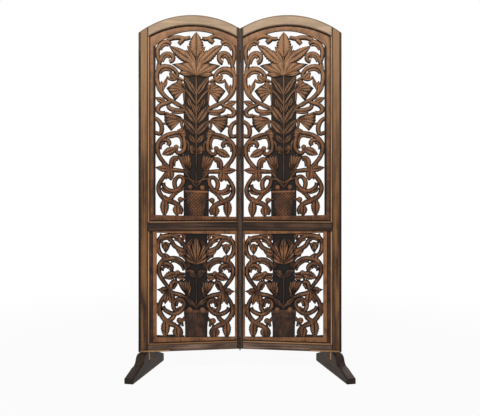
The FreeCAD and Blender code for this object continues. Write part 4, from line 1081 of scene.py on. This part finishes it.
# Browned steel is nearly black with a dull glint, zinc plate a bright grey, screws a duller grey
hinge_steel = worn_steel("browned_pressed_steel", "#4a423c", "#241d19", roughness=0.42, spot=9)
plate_steel = worn_steel("zinc_plated_steel", "#b9b9b6", "#7e7c78", roughness=0.38, spot=12)
screw_steel = worn_steel("plated_screw_steel", "#a09c94", "#5f5a53", roughness=0.4, spot=5)
for name, cad_node in frame["nodes"].items():
    if "screws" in name:
        finish = screw_steel
    elif "edge_plates" in name:
        finish = plate_steel
    elif "hinge" in name:
        finish = hinge_steel
    else:
        continue
    cad_node.data.materials.clear()
    cad_node.data.materials.append(finish)

# Floor, light and camera. A pale studio floor that fades into a white background, a broad soft lamp above the
# camera, weaker ones from the left and from behind, and an even sky. Lengths are in metres.

WHITE = (1, 1, 1, 1)
FLOOR_RADIUS = 9
FLOOR_FADE = (0.9, 3.2)
FLOOR_GLOW = 0.93
# Each lamp's place, the point that it faces, its width and its watts
LAMPS = {
    "lamp_above": ((-0.3, -2.6, 3.4), (0, 0, 1.2), 1.8, 70),
    "lamp_left": ((-3.0, -2.4, 1.8), (0, 0, 0.9), 1.6, 14),
    "lamp_behind": ((1.2, 3.2, 2.8), (0, 0, 1.0), 1.6, 30),
}
CAMERA_PLACE = (0, -3.339, 0.969)
# In pixels of an image that is 480 wide, and the sensor in millimetres
FOCAL_PIXELS = 649
IMAGE_WIDTH = 480
HORIZON_RAISE = 24.8
SENSOR = 36

scene = bpy.context.scene
scene.view_settings.view_transform = "Standard"
floor_bm = bmesh.new()
bmesh.ops.create_circle(floor_bm, cap_ends=True, segments=96, radius=FLOOR_RADIUS)
floor_mesh = bpy.data.meshes.new("studio_floor")
floor_bm.to_mesh(floor_mesh)
floor_bm.free()
floor = into_scene("studio_floor", floor_mesh)


def seen_directly(tree):
    """1 for the rays that show the background itself: from the camera, off a gloss or through glass."""
    light_path = add_node(tree, "LightPath", {}).outputs
    kinds = [light_path[name] for name in ("Is Camera Ray", "Is Glossy Ray", "Is Transmission Ray")]
    first = add_node(tree, "Math", {0: kinds[0], 1: kinds[1]}, operation="MAXIMUM").outputs[0]
    return add_node(tree, "Math", {0: first, 1: kinds[2]}, operation="MAXIMUM").outputs[0]


# Matt white floor paint: white to the camera, with the screen's soft shadow still on it
floor_paint, tree, shader = new_material("matt_white_floor_paint")
shader.inputs["Base Color"].default_value = linear("#f2f1ef")
shader.inputs["Roughness"].default_value = 0.9
shader.inputs["Specular IOR Level"].default_value = 0.0
place = add_node(tree, "TexCoord", {}).outputs["Object"]
reach = add_node(tree, "VectorMath", {0: place}, operation="LENGTH").outputs["Value"]
fading = dict(zip(SPREAD, (reach, *FLOOR_FADE, FLOOR_GLOW)))
far = add_node(tree, "MapRange", fading, interpolation_type="SMOOTHSTEP").outputs[0]
white = add_node(tree, "Emission", {"Color": WHITE, "Strength": 1.0}).outputs[0]
far_seen = add_node(tree, "Math", {0: far, 1: seen_directly(tree)}, operation="MULTIPLY").outputs[0]
blended = add_node(tree, "MixShader", {0: far_seen, 1: shader.outputs[0], 2: white}).outputs[0]
tree.links.new(blended, tree.nodes["Material Output"].inputs["Surface"])
floor_mesh.materials.append(floor_paint)

world = bpy.data.worlds.new("studio")
scene.world = world
world.use_nodes = True
tree = world.node_tree
sky = tree.nodes["Background"]
sky.inputs["Color"].default_value = WHITE
sky.inputs["Strength"].default_value = 0.22
backdrop = add_node(tree, "Background", {"Color": WHITE, "Strength": 1.0}).outputs[0]
blended = add_node(tree, "MixShader", {0: seen_directly(tree), 1: sky.outputs[0], 2: backdrop}).outputs[0]
tree.links.new(blended, tree.nodes["World Output"].inputs["Surface"])

for name, (place, aim, width, watts) in LAMPS.items():
    lamp = bpy.data.lights.new(name, "AREA")
    lamp.shape = "SQUARE"
    lamp.size = width
    lamp.energy = watts
    holder = into_scene(name, lamp)
    holder.location = place
    holder.rotation_euler = (Vector(aim) - Vector(place)).to_track_quat("-Z", "Y").to_euler()

camera_data = bpy.data.cameras.new("camera")
camera_data.sensor_width = SENSOR
camera_data.sensor_fit = "HORIZONTAL"
camera_data.lens = FOCAL_PIXELS / IMAGE_WIDTH * SENSOR
camera_data.shift_y = -HORIZON_RAISE / IMAGE_WIDTH
camera = into_scene("camera", camera_data)
camera.location = CAMERA_PLACE
camera.rotation_euler = (math.pi / 2, 0, 0)
scene.camera = camera
